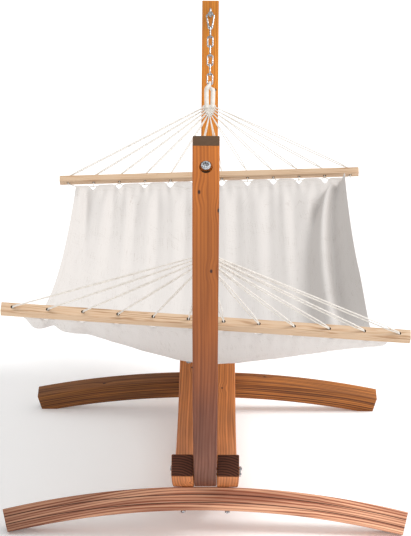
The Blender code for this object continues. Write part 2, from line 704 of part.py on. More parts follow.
def harness_outline(side):
    """Twelve pairs of cords in the plane of the bar's holes, X along the bar and Y to the cloth."""
    root = bar_frame(side).inverted() @ (swing_point(side) + KNOT_END * hang_direction(side))
    top = root.y + TOUCH + CORD_CROWN
    root_half = KNOT_BOTTOM_HALF - 0.004
    pitch = 2 * root_half / BAR_HOLES
    bend = -(BAR_THICKNESS / 2 + 0.001)
    end = BAR_THICKNESS / 2 + CORD_TO_CLOTH - CORD_END_PLAY
    half = CORD_PAIR_WIDTH / 2
    points = [(root.x + root_half, root.y + TOUCH), (root.x - root_half, root.y + TOUCH)]
    for number, place in enumerate(hole_places()):
        left = root.x - root_half + number * pitch
        points += [(left, top), (place - half, bend), (place - half, end), (place + half, end),
                   (place + half, bend)]
    points.append((root.x + root_half, top))
    return points


def build_harness(name, side, pivot_empty):
    outline = harness_outline(side)
    harness = add_object("harness_cords_" + name,
                         flat_plate(outline, -CORD_THICKNESS / 2, CORD_THICKNESS / 2),
                         bar_frame(side), ROPE)
    hang_on(harness, pivot_empty)


def build_bar(name, side, pivot_empty):
    outline = edged_rectangle(BAR_THICKNESS, BAR_HEIGHT, BAR_EDGE)
    rings = [[Vector((along, x, y)) for x, y in outline] for along in (-BAR_LENGTH / 2, BAR_LENGTH / 2)]
    frame = bar_frame(side)
    bar = add_object("spreader_bar_" + name, loft(rings), frame, PALE_WOOD)
    run = Vector((0, BAR_THICKNESS, 0))
    lines = [(frame @ (Vector((place, 0, 0)) - run), frame @ (Vector((place, 0, 0)) + run))
             for place in hole_places()]
    drill(bar, "drill_bar_" + name, lines, BAR_HOLE_RADIUS)
    hang_on(bar, pivot_empty)


def hem_middle(side):
    return bar_frame(side) @ Vector((0, BAR_THICKNESS / 2 + CORD_TO_CLOTH, 0))


def cloth_height(x, y):
    """Height of the cloth's middle surface.

    Along the stand it hangs in a parabola between the hems. Half way along, the edges lie above
    the middle. At each hem the cloth is as level as its bar.
    """
    rear = hem_middle(REAR)
    share = y / rear.y
    hang = CLOTH_SAG * (1 - share * share)
    edge_rise = CLOTH_LEFT_RISE if x < 0 else CLOTH_RIGHT_RISE
    rise = edge_rise * (abs(x) / CLOTH_HALF_WIDTH) ** CLOTH_TROUGH_POWER
    front_part = (1 - share) / 2
    slope = math.tan(FRONT_BAR_ROLL) * front_part + math.tan(REAR_BAR_ROLL) * (1 - front_part)
    return rear.z - hang + rise * (1 - share * share) - slope * x


def build_cloth(pivot_empty):
    """A thin slab between the two hems."""
    reach = hem_middle(REAR).y
    rings = []
    half = CLOTH_THICKNESS / 2
    for i in range(CLOTH_STEPS_ALONG + 1):
        y = -reach + 2 * reach * i / CLOTH_STEPS_ALONG
        xs = [CLOTH_HALF_WIDTH * (2 * k / CLOTH_STEPS_ACROSS - 1) for k in range(CLOTH_STEPS_ACROSS + 1)]
        upper = [Vector((x, y, cloth_height(x, y) + half)) for x in xs]
        lower = [Vector((x, y, cloth_height(x, y) - half)) for x in reversed(xs)]
        rings.append(upper + lower)
    cloth = add_object("hammock_cloth", loft(rings), Matrix.Identity(4), CANVAS)
    hang_on(cloth, pivot_empty)


def main():
    clear_scene()
    build_timber()
    build_fasteners()
    bed_point = swing_point(FRONT) + ROPE_TOP * hang_direction(FRONT)
    bed_pivot = add_pivot("bed_roll_axis", bed_point)
    for name, side in SIDES.items():
        swing_pivot = add_pivot("swing_axis_" + name, swing_point(side))
        build_eye_bolt(name, side)
        build_hook(name, side, swing_pivot)
        build_chain(name, side, swing_pivot)
        build_rope_eye(name, side, bed_pivot)
        build_harness(name, side, bed_pivot)
        build_bar(name, side, bed_pivot)
    build_cloth(bed_pivot)


main()
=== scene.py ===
# %% [markdown]
# # A hammock on its stand
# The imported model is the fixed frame: it says where everything is and how it moves. This lesson
# builds the looks around it: bent larch boards, zinc-plated steel, cotton cord and a canvas cloth.
# Each shape is a surface worked out with numpy, so it can be changed by changing a size.

import functools
import math

import bpy
import numpy as np
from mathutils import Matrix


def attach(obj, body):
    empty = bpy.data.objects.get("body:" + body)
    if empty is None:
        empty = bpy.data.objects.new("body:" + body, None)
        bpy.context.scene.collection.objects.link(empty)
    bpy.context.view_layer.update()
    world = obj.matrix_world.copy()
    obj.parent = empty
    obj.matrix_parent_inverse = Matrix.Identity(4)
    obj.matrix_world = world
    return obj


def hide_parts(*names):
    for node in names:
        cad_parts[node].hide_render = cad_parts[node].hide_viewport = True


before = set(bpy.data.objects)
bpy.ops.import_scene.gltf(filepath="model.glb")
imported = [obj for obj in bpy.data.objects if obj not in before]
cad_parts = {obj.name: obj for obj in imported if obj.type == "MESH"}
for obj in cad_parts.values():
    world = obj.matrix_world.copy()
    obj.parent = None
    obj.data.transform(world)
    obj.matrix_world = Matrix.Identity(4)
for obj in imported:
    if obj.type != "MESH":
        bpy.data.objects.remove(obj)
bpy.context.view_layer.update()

# %% [markdown]
# The camera stands in front of the stand, a little above it, with a long lens, so that the arcs keep
# their true curve. It is set from its place, how far it looks down and a slight lean. Colours are
# shown without a film look, which keeps white white.

# %% Camera
CAMERA_PLACE = np.array([0.021, -6.4017, 2.1681])
CAMERA_DOWN = math.radians(13.262)
CAMERA_TO_LEFT = math.radians(0.2455)
CAMERA_LEAN = math.radians(-0.36)
FOCAL_LENGTH, SENSOR_WIDTH = 138.4, 36      # millimetres
FARTHEST_SEEN = 200

level = np.array([-math.sin(CAMERA_TO_LEFT), math.cos(CAMERA_TO_LEFT), 0.0])
ahead = level * math.cos(CAMERA_DOWN) - np.array([0, 0, 1.0]) * math.sin(CAMERA_DOWN)
right = np.array([level[1], -level[0], 0.0])
up = np.cross(right, ahead)
leaning_right = right * math.cos(CAMERA_LEAN) - up * math.sin(CAMERA_LEAN)
leaning_up = right * math.sin(CAMERA_LEAN) + up * math.cos(CAMERA_LEAN)


def axes_at(origin, x_axis, y_axis, z_axis):
    """Four by four matrix whose columns are three axes and the origin."""
    axes = np.eye(4)
    axes[:3, :3] = np.column_stack([x_axis, y_axis, z_axis])
    axes[:3, 3] = origin
    return axes


lens = bpy.data.cameras.new("camera")
lens.lens, lens.sensor_width, lens.clip_end = FOCAL_LENGTH, SENSOR_WIDTH, FARTHEST_SEEN
camera = bpy.data.objects.new("camera", lens)
camera.matrix_world = axes_at(CAMERA_PLACE, leaning_right, leaning_up, -ahead).T.tolist()
bpy.context.collection.objects.link(camera)
bpy.context.scene.camera = camera
bpy.context.scene.view_settings.view_transform = "Standard"
print("camera at", CAMERA_PLACE)

# %% [markdown]
# A material is a small graph of nodes. One function adds a node of any kind and feeds its inputs: a
# number is set, and another node is linked. Colours are written as a paint chart writes them, in sRGB
# hex, and one function turns them into the linear light that the shader reckons in.


# %% Colour and nodes
def linear(hex_colour):
    """Each channel c of an sRGB colour becomes c/12.92 if dark, else ((c+0.055)/1.055) to the 2.4."""
    channels = np.array([int(hex_colour[i:i + 2], 16) for i in (1, 3, 5)]) / 255
    light = np.where(channels <= 0.04045, channels / 12.92, ((channels + 0.055) / 1.055) ** 2.4)
    return (*light.tolist(), 1.0)


def feed(socket, value):
    """Link a node's first output, or the output given, to the socket. Anything else is its value."""
    if hasattr(value, "outputs"):
        value = value.outputs[0]
    if hasattr(value, "is_output"):
        socket.id_data.links.new(value, socket)
    else:
        socket.default_value = value


def add_node(tree, kind, *values, numbered=None, stops=(), **named):
    """Add a node, such as "TexNoise", or "Math.SINE" with its operation after the dot.

    Values feed its inputs in order, numbered ones by number, and named ones by name. A name that no
    input has is the node's own setting. Stops are the places and colours of a ramp.
    """
    kind, _, operation = kind.partition(".")
    node = tree.nodes.new("ShaderNode" + kind)
    if operation:
        node.operation = operation
    for number, value in [*enumerate(values), *(numbered or {}).items()]:
        feed(node.inputs[number], value)
    for key, value in named.items():
        if key in node.inputs:
            feed(node.inputs[key], value)
        else:
            setattr(node, key, value)
    for place, colour in stops[1:-1]:
        node.color_ramp.elements.new(place).color = linear(colour)
    for end in (0, -1) if stops else ():
        element = node.color_ramp.elements[end]
        element.position, element.color = stops[end][0], linear(stops[end][1])
    return node


def set_inputs(node, **values):
    """Feed a node's inputs by name, with an underscore for each space."""
    for key, value in values.items():
        feed(node.inputs[key.replace("_", " ")], value)


def new_material(name, **constants):
    """A material, the function that adds its nodes, and its shader with the constants set on it."""
    material = bpy.data.materials.new(name)
    material.use_nodes = True
    shader = material.node_tree.nodes["Principled BSDF"]
    set_inputs(shader, **constants)
    return material, functools.partial(add_node, material.node_tree), shader


def stretched_noise(add, place, stretch, detail, shift=(0, 0, 0)):
    """Noise read at the place times the stretch, plus the shift."""
    stretched = add("VectorMath.MULTIPLY_ADD", place, stretch, shift)
    return add("TexNoise", stretched, Scale=1.0, Detail=detail)


print("white reads as", linear("#ffffff"), "and mid grey as", round(linear("#808080")[0], 3))

# %% [markdown]
# The stand is sawn larch that was planed, bent, glued in three layers and oiled. Larch has pale early
# wood and reddish late wood, so its face shows long streaks that wander a little, and a few small dark
# knots that the streaks bend round. The oil leaves a low satin gloss. The grain follows the bend, so
# the pattern reads a "board" attribute: across, through and along the board, in metres. A solid
# pattern in those three directions also carries on round the edges.

# %% Oiled larch
BOARD_DEPTH = 0.065
LAYERS = 3                  # glued layers through a board
GLUE_LINE = 0.0007          # half the line's thickness, drawn a little coarser than real glue


def oiled_larch(name, early, late, knots, seed, depth=BOARD_DEPTH, contrast=1.0, spacing=0.0085,
                tint="#ffffff", tint_and_painted_shade_span=(0.0, 1.0)):
    """Streaks from early to late wood, with the spacing given from one to the next.

    Knots are (across, along) places. The tint multiplies in along the board, over its span; on the front arm
    it is partly painted shade.
    """
    material, add, shader = new_material(name, Roughness=0.5, IOR=1.5, Specular_IOR_Level=0.35)
    place = add("Attribute", attribute_name="board").outputs["Vector"]
    across, through, along = add("SeparateXYZ", place).outputs

    layer = add("Math.FLOOR", add("Math.MULTIPLY_ADD", through, 0.99 * LAYERS / depth, LAYERS / 2))
    off_glue = add("Math.SUBTRACT", add("Math.ABSOLUTE", through), depth / 6)
    glue = add("MapRange", add("Math.ABSOLUTE", off_glue), GLUE_LINE, 2.4 * GLUE_LINE, 1.0, 0.0)

    distances = []
    for knot_across, knot_along in knots:
        offset = add("VectorMath.SUBTRACT", place, (knot_across, 0, knot_along))
        squeezed = add("VectorMath.MULTIPLY", offset, (1, 0, 0.55))
        distances.append(add("VectorMath.LENGTH", squeezed).outputs["Value"])
    nearest = functools.reduce(functools.partial(add, "Math.MINIMUM"), distances)
    pull = add("MapRange", nearest, 0.004, 0.026, 0.006, 0.0, interpolation_type="SMOOTHSTEP")
    knot = add("MapRange", nearest, 0.0018, 0.0044, 1.0, 0.0, interpolation_type="SMOOTHSTEP")

    wander = stretched_noise(add, place, (5, 5, 1.1), 1.0, (seed, 2.3 * seed, 0))
    bent = add("Math.ADD", add("Math.MULTIPLY_ADD", wander, 0.05, across), pull)
    tilted = add("Math.MULTIPLY_ADD", through, 0.8, add("Math.MULTIPLY_ADD", layer, 0.37, bent))
    rings = add("Math.SINE", add("Math.MULTIPLY", tilted, math.tau / spacing))
    late_wood = add("MapRange", rings, -0.2, 1.0, interpolation_type="SMOOTHSTEP")

    fibres = stretched_noise(add, place, (420, 420, 9), 3.0)
    streaks = stretched_noise(add, add("CombineXYZ", tilted, 0.0, along), (125, 1, 2.4), 3.0)
    mixed = add("Math.MULTIPLY_ADD", add("MapRange", streaks, 0.34, 0.68), 0.62,
                add("Math.MULTIPLY", late_wood, 0.42))
    share = add("Math.MULTIPLY_ADD", fibres, 0.34, mixed, use_clamp=True)
    strength = add("MapRange", share, 0.5 - 0.5 / contrast, 0.5 + 0.5 / contrast)
    wood = add("ValToRGB", strength, stops=[(0.12, early), (1.0, late)])

    blotches = stretched_noise(add, place, (9, 9, 2.6), 2.0, (0, seed, seed))
    tone = add("MapRange", blotches, 0.3, 0.7, 0.80, 1.12)
    colour = add("VectorMath.SCALE", wood, Scale=tone)
    # Painted shade: the tint darkens the front arm towards its lower end, partly its own tone, partly shade
    # where its face turns under.
    tint_and_painted_shade_share = add("MapRange", along, *tint_and_painted_shade_span)
    for amount, other, blend in ((tint_and_painted_shade_share, tint, "MULTIPLY"), (glue, "#3a1b0d", "MIX"),
                                 (knot, "#34170c", "MIX")):
        colour = add("Mix", amount, data_type="RGBA", blend_type=blend,
                     numbered={6: colour, 7: linear(other)}).outputs[2]
    bump = add("Bump", Strength=0.35, Distance=0.0006, Height=share)
    set_inputs(shader, Base_Color=colour, Roughness=add("MapRange", share, 0.0, 1.0, 0.42, 0.62), Normal=bump)
    return material


print("boards glued from", LAYERS, "layers")

# %% [markdown]
# Where a board is cut across, the open pores drink the oil and go dark brown, and the rings show as
# short arcs. That is a second material on the cut faces, from the same board attribute.


# %% End grain
def wood_end_grain(name, dark, pale):
    """Distorted rings round a heart that lies outside the board, broken up by fine pores."""
    material, add, shader = new_material(name, Roughness=0.8, IOR=1.5, Specular_IOR_Level=0.25)
    place = add("Attribute", attribute_name="board").outputs["Vector"]
    off_heart = add("VectorMath.MULTIPLY_ADD", place, (1, 1, 0), (0.018, 0.085, 0))
    rings = add("TexWave", off_heart, wave_type="RINGS", rings_direction="Z", Scale=42.0,
                Distortion=1.2, Detail=2.0)
    pores = add("TexNoise", place, Scale=650.0, Detail=2.0)
    share = add("Math.MULTIPLY_ADD", pores, 0.5, rings)
    wood = add("ValToRGB", share, stops=[(0.2, dark), (1.2, pale)])
    set_inputs(shader, Base_Color=wood, Normal=add("Bump", Strength=0.4, Distance=0.0006, Height=share))
    return material


end_grain = wood_end_grain("oiled_larch_end_grain", "#46321f", "#5f4630")
dark_end_grain = wood_end_grain("dark_oiled_larch_end_grain", "#2e160d", "#5e3626")
print("end grains:", end_grain.name, "and", dark_end_grain.name)

# %% [markdown]
# The spreader bars are a pale plantation hardwood, planed and left bare. It has short lens-shaped
# brown streaks on a creamy ground, and no gloss to speak of. Inside its holes it is drawn much darker:
# partly the end grain that the drill opens, partly painted shade in the bores.


# %% Pale hardwood
def pale_hardwood():
    """Sharp wavy lines that show only in patches, with fine fibres over them."""
    material, add, shader = new_material("planed_pale_hardwood", IOR=1.5)
    place = add("Attribute", attribute_name="board").outputs["Vector"]
    across, through, _ = add("SeparateXYZ", place).outputs
    wander = stretched_noise(add, place, (38, 38, 5), 2.0)
    bent = add("Math.MULTIPLY_ADD", wander, 0.030, add("Math.MULTIPLY_ADD", through, 0.7, across))
    lines = add("Math.SINE", add("Math.MULTIPLY", bent, math.tau / 0.0075))
    sharp = add("MapRange", lines, 0.25, 1.0, interpolation_type="SMOOTHSTEP")
    patches = add("MapRange", stretched_noise(add, place, (30, 30, 7), 1.0), 0.36, 0.70)
    fibres = stretched_noise(add, place, (600, 600, 14), 3.0)
    share = add("Math.MULTIPLY_ADD", fibres, 0.45, add("Math.MULTIPLY", sharp, patches), use_clamp=True)
    wood = add("ValToRGB", share, stops=[(0.12, "#ccb295"), (0.42, "#c19f7f"), (1.0, "#a3805f")])
    bump = add("Bump", Strength=0.3, Distance=0.0004, Height=share)
    set_inputs(shader, Base_Color=wood, Roughness=add("MapRange", share, 0.0, 1.0, 0.55, 0.75), Normal=bump)
    return material


bar_wood = pale_hardwood()
# Painted shade: the bores' material is dark partly for end grain, partly for the shade in the holes.
bore_end_grain_and_painted_shade = wood_end_grain("hardwood_bores_end_grain_and_painted_shade", "#3a2415", "#57402c")
print("bar woods:", bar_wood.name, "and", bore_end_grain_and_painted_shade.name)

# %% [markdown]
# Bolts, hooks and chain are drawn steel wire and forged steel with a bright zinc plating. Zinc is a
# metal, so its colour is its reflection. The plating is uneven: duller blotches a few millimetres across,
# and fine pits that blur the shine. The blotches are drawn darker than plating alone would make them:
# that part is painted reflection, of dark surroundings that the white studio doesn't have.


# %% Zinc-plated steel
def zinc_plated_steel(name, bright, dull_and_painted_reflection):
    """Blotches that are duller and rougher together, and pits as a fine bump. The blotches' colour is partly
    painted reflection.
    """
    material, add, shader = new_material(name, Metallic=1.0)
    place = add("TexCoord").outputs["Object"]
    blotches = add("TexNoise", place, Scale=210.0, Detail=3.0)
    # Painted reflection: the second colour is dark enough to stand for dark surroundings mirrored in the
    # metal.
    colour = add("ValToRGB", blotches, stops=[(0.38, dull_and_painted_reflection), (0.60, bright)])
    pits = add("TexNoise", place, Scale=1400.0, Detail=2.0)
    bump = add("Bump", Strength=0.12, Distance=0.0003, Height=pits)
    set_inputs(shader, Base_Color=colour, Roughness=add("MapRange", blotches, 0.3, 0.7, 0.34, 0.20),
               Normal=bump)
    return material


# The second colour is partly uneven plating, partly painted reflection.
steel = zinc_plated_steel("bright_zinc_plated_steel", "#c8cbce", "#75777a")
print("metal:", steel.name)

# %% [markdown]
# The cords are laid from three cotton strands. The lay is in the mesh. The material only adds what
# cotton yarn has: a soft fuzz that catches light at grazing angles, and faint creamy variation.


# %% Cotton cord
def cotton_cord(name, pale, shade):
    """Slow variation in colour and a very fine fuzz as a bump."""
    material, add, shader = new_material(name, Roughness=0.9, Sheen_Weight=0.35, Sheen_Roughness=0.5)
    place = add("TexCoord").outputs["Object"]
    tufts = add("TexNoise", place, Scale=90.0, Detail=2.0)
    fuzz = add("TexNoise", place, Scale=2200.0, Detail=2.0)
    set_inputs(shader, Base_Color=add("ValToRGB", tufts, stops=[(0.3, shade), (0.6, pale)]),
               Normal=add("Bump", Strength=0.35, Distance=0.0004, Height=fuzz))
    return material


cord_cotton = cotton_cord("laid_cotton_cord", "#e1dbd3", "#d4cdc3")
stitch_cotton = cotton_cord("cotton_sewing_thread", "#dcd6cd", "#c8c0b5")
print("cottons:", cord_cotton.name, "and", stitch_cotton.name)

# %% [markdown]
# The cloth is a plain-woven cotton canvas in its natural off-white. Real threads are under a
# millimetre apart, too fine to show from where the camera stands, so the weave is drawn at 2 mm.
# Thicker stretches of yarn, called slubs, run along both thread directions and show at a distance.
# The pattern reads a "cut" attribute, the place on the flat cloth in metres, so it follows each fold.

# %% Cotton canvas
THREAD_SPACING = 0.002


def cotton_canvas():
    """Slubs in both thread directions tint and raise the cloth, over a weave of crossed sines."""
    material, add, shader = new_material("plain_woven_cotton_canvas", Roughness=0.92, Sheen_Weight=0.1,
                                         Sheen_Roughness=0.6)
    place = add("Attribute", attribute_name="cut").outputs["Vector"]
    slubs = add("Math.ADD", *(stretched_noise(add, place, stretch, 2.0)
                              for stretch in ((14, 480, 1), (480, 8, 1))))
    clouds = add("TexNoise", place, Scale=7.0, Detail=2.0)
    tint = add("Math.MULTIPLY_ADD", clouds, 0.35, slubs)
    colour = add("ValToRGB", tint, stops=[(0.95, "#bbb4ae"), (1.30, "#cfcac6")])
    threads = add("VectorMath.SCALE", place, Scale=math.pi / THREAD_SPACING)
    warp, weft, _ = add("SeparateXYZ", add("VectorMath.SINE", threads)).outputs
    height = add("Math.MULTIPLY_ADD", add("Math.MULTIPLY", warp, weft), 0.5, slubs)
    set_inputs(shader, Base_Color=colour, Normal=add("Bump", Strength=0.35, Distance=0.0005, Height=height))
    return material


canvas = cotton_canvas()
print("cloth:", canvas.name, "with threads", THREAD_SPACING * 1000, "mm apart")

# %% [markdown]
# Every solid here is a grid of points: rings of points along a path, with the ring closed on itself
# and a flat cap at each open end. A sheet is two grids with a strip of faces round their border. The
# faces are numbered as whole arrays. A shell's volume, summed over its faces, is negative when it is
# inside out, and then each face is turned round.


# %% From grids to meshes
def grid_faces(rows, columns, closed_rows, closed_columns):
    """For each cell of the grid, the numbers of its four corners, row by row."""
    row, column = np.meshgrid(np.arange(rows if closed_rows else rows - 1),
                              np.arange(columns if closed_columns else columns - 1), indexing="ij")
    next_row, next_column = (row + 1) % rows, (column + 1) % columns
    corners = [row * columns + column, row * columns + next_column,
               next_row * columns + next_column, next_row * columns + column]
    return np.stack(corners, -1).reshape(-1, 4)


def outward(points, quads, caps):
    """Volume is a sixth of the sum of a.(b x c) over all triangles, taken from the middle point."""
    centred = points - points.mean(0)
    a, b, c, d = (centred[quads[:, k]] for k in range(4))
    volume = np.einsum("ij,ij->", a, np.cross(b, c) + np.cross(c, d))
    for cap in caps:
        edge = centred[cap]
        volume += np.einsum("j,ij->", edge[0], np.cross(edge[1:-1], edge[2:]))
    if volume < 0:
        return points, quads[:, ::-1], [cap[::-1] for cap in caps]
    return points, quads, caps


def ring_shell(rings, closed=False):
    """A solid from rings of points, an array of ring, point, coordinate."""
    rows, columns = rings.shape[:2]
    quads = grid_faces(rows, columns, closed, True)
    caps = [] if closed else [np.arange(columns)[::-1], np.arange((rows - 1) * columns, rows * columns)]
    return outward(rings.reshape(-1, 3), quads, caps)


def sheet_shell(top, bottom):
    """A thin solid between two grids of the same size, with quads round the border."""
    rows, columns = top.shape[:2]
    upper = grid_faces(rows, columns, False, False)
    lower = upper[:, ::-1] + rows * columns
    number = np.arange(rows * columns).reshape(rows, columns)
    border = np.concatenate([number[0, :-1], number[:-1, -1], number[-1, :0:-1], number[:0:-1, 0]])
    following = np.roll(border, -1)
    sides = np.stack([following, border, border + rows * columns, following + rows * columns], -1)
    points = np.concatenate([top.reshape(-1, 3), bottom.reshape(-1, 3)])
    return outward(points, np.concatenate([upper, lower, sides]), [])


print("a ring of four points, carried one step, has", len(grid_faces(2, 4, False, True)), "sides")

# %% [markdown]
# A mesh object is made from any number of such shells. A hole is cut with a shell of the drill's own
# shape. A finished piece is shaded smooth but for its steep edges, gets its materials, rides on its body
# of the frame, and hides the frame's pieces that it stands for.

# %% From meshes to pieces
SHARP_ANGLE = 40            # degrees. Steeper edges stay sharp


def mesh_of(name, shells):
    """One mesh object, at the origin, that holds all the shells."""
    points, faces, start = [], [], 0
    for shell_points, quads, caps in shells:
        points.append(shell_points)
        faces += (quads + start).tolist() + [(cap + start).tolist() for cap in caps]
        start += len(shell_points)
    mesh = bpy.data.meshes.new(name)
    mesh.from_pydata(np.concatenate(points).tolist(), [], faces)
    mesh.update()
    piece = bpy.data.objects.new(name, mesh)
    bpy.context.collection.objects.link(piece)
    return piece


def carve(piece, shells):
    """Cut the shells out of the piece."""
    cutter = mesh_of("cutter", shells)
    modifier = piece.modifiers.new("carve", "BOOLEAN")
    modifier.operation = "DIFFERENCE"
    modifier.solver = "EXACT"
    modifier.object = cutter
    bpy.context.view_layer.update()
    evaluated = piece.evaluated_get(bpy.context.evaluated_depsgraph_get())
    carved = bpy.data.meshes.new_from_object(evaluated)
    piece.modifiers.clear()
    piece.data = carved
    bpy.data.objects.remove(cutter, do_unlink=True)


def finish_piece(piece, materials, body, nodes=(), sharp_angle=SHARP_ANGLE):
    """Shade the piece, give it its materials, and let it ride on its body in its nodes' place."""
    mesh = piece.data
    for material in materials:
        mesh.materials.append(material)
    mesh.shade_smooth()
    mesh.set_sharp_from_angle(angle=math.radians(sharp_angle))
    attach(piece, body)
    if nodes:
        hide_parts(*nodes)
    return piece


def add_steel(name, shells, body, node):
    """A piece in zinc-plated steel that stands for one of the frame's pieces."""
    return finish_piece(mesh_of(name, shells), [steel], body, [node])


def add_cord(name, shells, *nodes):
    """A piece in cotton cord on the bed, smooth over the ridges of its lay."""
    return finish_piece(mesh_of(name, shells), [cord_cotton], "bed", nodes, 80)


def read_vectors(items, name):
    """One vector of each vertex or face, as rows."""
    values = np.empty(len(items) * 3)
    items.foreach_get(name, values)
    return values.reshape(-1, 3)


def store_vectors(mesh, name, values):
    """Keep one vector for each vertex, under a name that a material can read."""
    attribute = mesh.attributes.new(name, "FLOAT_VECTOR", "POINT")
    attribute.data.foreach_set("vector", values.ravel().astype(np.float32))


print("edges steeper than", SHARP_ANGLE, "degrees stay sharp")

# %% [markdown]
# Round things are drawn in two ways. A turned solid has a profile of radii and heights, as on a lathe.
# A bent bar or a cord is a section carried along a path. Each ring keeps one side towards a given
# direction, so that the bar doesn't twist. A path is drawn coarsely, cut into equal steps and smoothed.


# %% Turned solids and bent bars
def placed(points, axes):
    """Turn points by the axes and move them to their origin."""
    return points @ axes[:3, :3].T + axes[:3, 3]


def rings_along(path, first, second, outline):
    """Ring point = path point + outline x times the first axis + outline y times the second."""
    x, y = outline[..., 0, None], outline[..., 1, None]
    return path[:, None] + x * first[:, None] + y * second[:, None]


def unit(vectors):
    """The same directions with a length of one."""
    return vectors / np.linalg.norm(vectors, axis=-1, keepdims=True)


def circle(sides, phase=0.0):
    """Points at equal angles on a circle of radius 1."""
    angle = np.arange(sides) * math.tau / sides + phase
    return np.stack([np.cos(angle), np.sin(angle)], -1)


def tube(path, radius, reference, sides=12, closed=False, outline=None):
    """A round bar along a path.

    The first axis of each ring is the reference direction with its part along the path taken away,
    and the second is square to both. Radius may be one number or one for each ring.
    """
    tangent = unit(np.roll(path, -1, 0) - np.roll(path, 1, 0) if closed else np.gradient(path, axis=0))
    reference = np.asarray(reference, float)
    first = unit(reference - (tangent @ reference)[:, None] * tangent)
    second = np.cross(tangent, first)
    outline = circle(sides) if outline is None else outline
    sized = outline * np.broadcast_to(np.asarray(radius, float), len(path))[:, None, None]
    return ring_shell(rings_along(path, first, second, sized), closed)


def turned(profile, axes, sides=32, closed=False):
    """A solid turned round the Z axis from (radius, height) pairs, closed on itself or with end caps.

    A radius may be one number or one for each side.
    """
    rings = [np.column_stack([circle(sides) * np.reshape(radius, (-1, 1)), np.full(sides, height)])
             for radius, height in profile]
    return ring_shell(placed(np.stack(rings), axes), closed)


def arc(centre_x, centre_y, radius, start, end, steps):
    """Points on an arc in a plane, angles in degrees."""
    angle = np.radians(np.linspace(start, end, steps + 1))
    return np.stack([centre_x + radius * np.cos(angle), centre_y + radius * np.sin(angle)], -1)


def lengths_along(path):
    """The length so far at each point: a running sum of the steps."""
    return np.concatenate([[0], np.cumsum(np.linalg.norm(np.diff(path, axis=0), axis=1))])


def at_lengths(wanted, length, rows):
    """Each column of the rows as a function of the length, read at the wanted lengths."""
    return np.stack([np.interp(wanted, length, rows[:, k]) for k in range(3)], -1)


def resample(path, step):
    """Points at equal steps along the path."""
    length = lengths_along(path)
    return at_lengths(np.linspace(0, length[-1], max(2, int(length[-1] / step) + 1)), length, path)


def smoothed(values, times):
    """Each inner value becomes a quarter of its neighbours' sum plus half of itself, again and again."""
    for _ in range(times):
        inner = (values[:-2] + 2 * values[1:-1] + values[2:]) / 4
        values = np.concatenate([values[:1], inner, values[-1:]])
    return values


print("a quarter bend of 10 mm is", round(float(lengths_along(arc(0, 0, 10, 0, 90, 16))[-1]), 1), "mm long")

# %% [markdown]
# The frame's sizes are repeated here, because the looks have to sit exactly on it. Everything along
# the stand follows one circle, and everything that hangs follows one straight line at each end.

# %% Sizes and places of the frame
TOUCH = 0.0003
ARC_RADIUS = 1.66
BEAM_WIDTH = 0.0625
BEAM_END_ANGLE = math.radians(30)
ARM_WIDTH = 0.0645
ARM_SIDE_PLAY = 0.0020
ARM_LOWER_ANGLE = math.radians(22.3)
ARM_TIP_ANGLE = math.radians(78)
FOOT_LENGTH, FOOT_DEPTH, FOOT_WIDTH = 1.20, 0.069, 0.061
FOOT_RISE, FOOT_PAD_CUT = 0.0707, 0.012
FOOT_ANGLE = math.radians(20.6)
BOLT_RADIUS = 0.004
NUT_ACROSS_FLATS, NUT_HEIGHT = 0.013, 0.0065
SPOT_FACE_RADIUS, SPOT_FACE_DEPTH = 0.0115, 0.0010
ARM_BOLT_ANGLES = {"lower": math.radians(24.2), "upper": math.radians(28.3)}
EYE_FROM_TIP, EYE_WIRE, EYE_HOLE, EYE_STANDOFF = 0.054, 0.008, 0.024, 0.028
COUNTERBORE_RADIUS, COUNTERBORE_DEPTH = 0.016, 0.012
WASHER_RADIUS, WASHER_THICKNESS = 0.012, 0.002
HANG_ANGLE = math.radians(49.8)
SIDES = {"front": -1, "rear": 1}
BAR_ROLL = {-1: math.radians(3.6), 1: math.radians(-2.1)}
BAR_DISTANCE, BAR_LENGTH, BAR_HEIGHT, BAR_THICKNESS = 0.7023, 1.10, 0.030, 0.025
BAR_HOLES, BAR_HOLE_RADIUS, BAR_END_MARGIN = 12, 0.005, 0.031
CORD_TO_CLOTH = 0.030

BEAM_GAP = ARM_WIDTH + 2 * ARM_SIDE_PLAY
BEAM_MIDDLE = BEAM_GAP / 2 + BEAM_WIDTH / 2
FOOT_ARCH_RADIUS = ((FOOT_LENGTH / 2) ** 2 + FOOT_RISE ** 2) / (2 * FOOT_RISE)
FOOT_HALF_ANGLE = math.asin(FOOT_LENGTH / 2 / FOOT_ARCH_RADIUS)
EYE_ANGLE = ARM_TIP_ANGLE - EYE_FROM_TIP / ARC_RADIUS
EYE_RADIUS = EYE_HOLE / 2 + EYE_WIRE / 2

foot_drop = FOOT_ARCH_RADIUS - (FOOT_ARCH_RADIUS - FOOT_DEPTH) * math.cos(FOOT_HALF_ANGLE)
ARC_HEIGHT = ((ARC_RADIUS + TOUCH) * math.cos(FOOT_ANGLE) + foot_drop * math.cos(FOOT_ANGLE)
              + FOOT_WIDTH / 2 * math.sin(FOOT_ANGLE) - FOOT_PAD_CUT)


def arc_axes(side, angle, radius):
    """Axes on the circle: Y along it to the tip, Z to its centre, X square to both."""
    along = np.array([0, side * math.cos(angle), math.sin(angle)])
    inward = np.array([0, -side * math.sin(angle), math.cos(angle)])
    return axes_at([0, 0, ARC_HEIGHT] - radius * inward, np.cross(along, inward), along, inward)


def down_line(side):
    """The direction in which a suspension hangs, down and inwards."""
    return np.array([0, -side * math.cos(HANG_ANGLE), -math.sin(HANG_ANGLE)])


def swing_point(side):
    """The point of the eye's ring that the hook hangs from."""
    eye = arc_axes(side, EYE_ANGLE, ARC_RADIUS - BOARD_DEPTH - EYE_STANDOFF)
    return eye[:3, 3] + EYE_RADIUS * down_line(side)


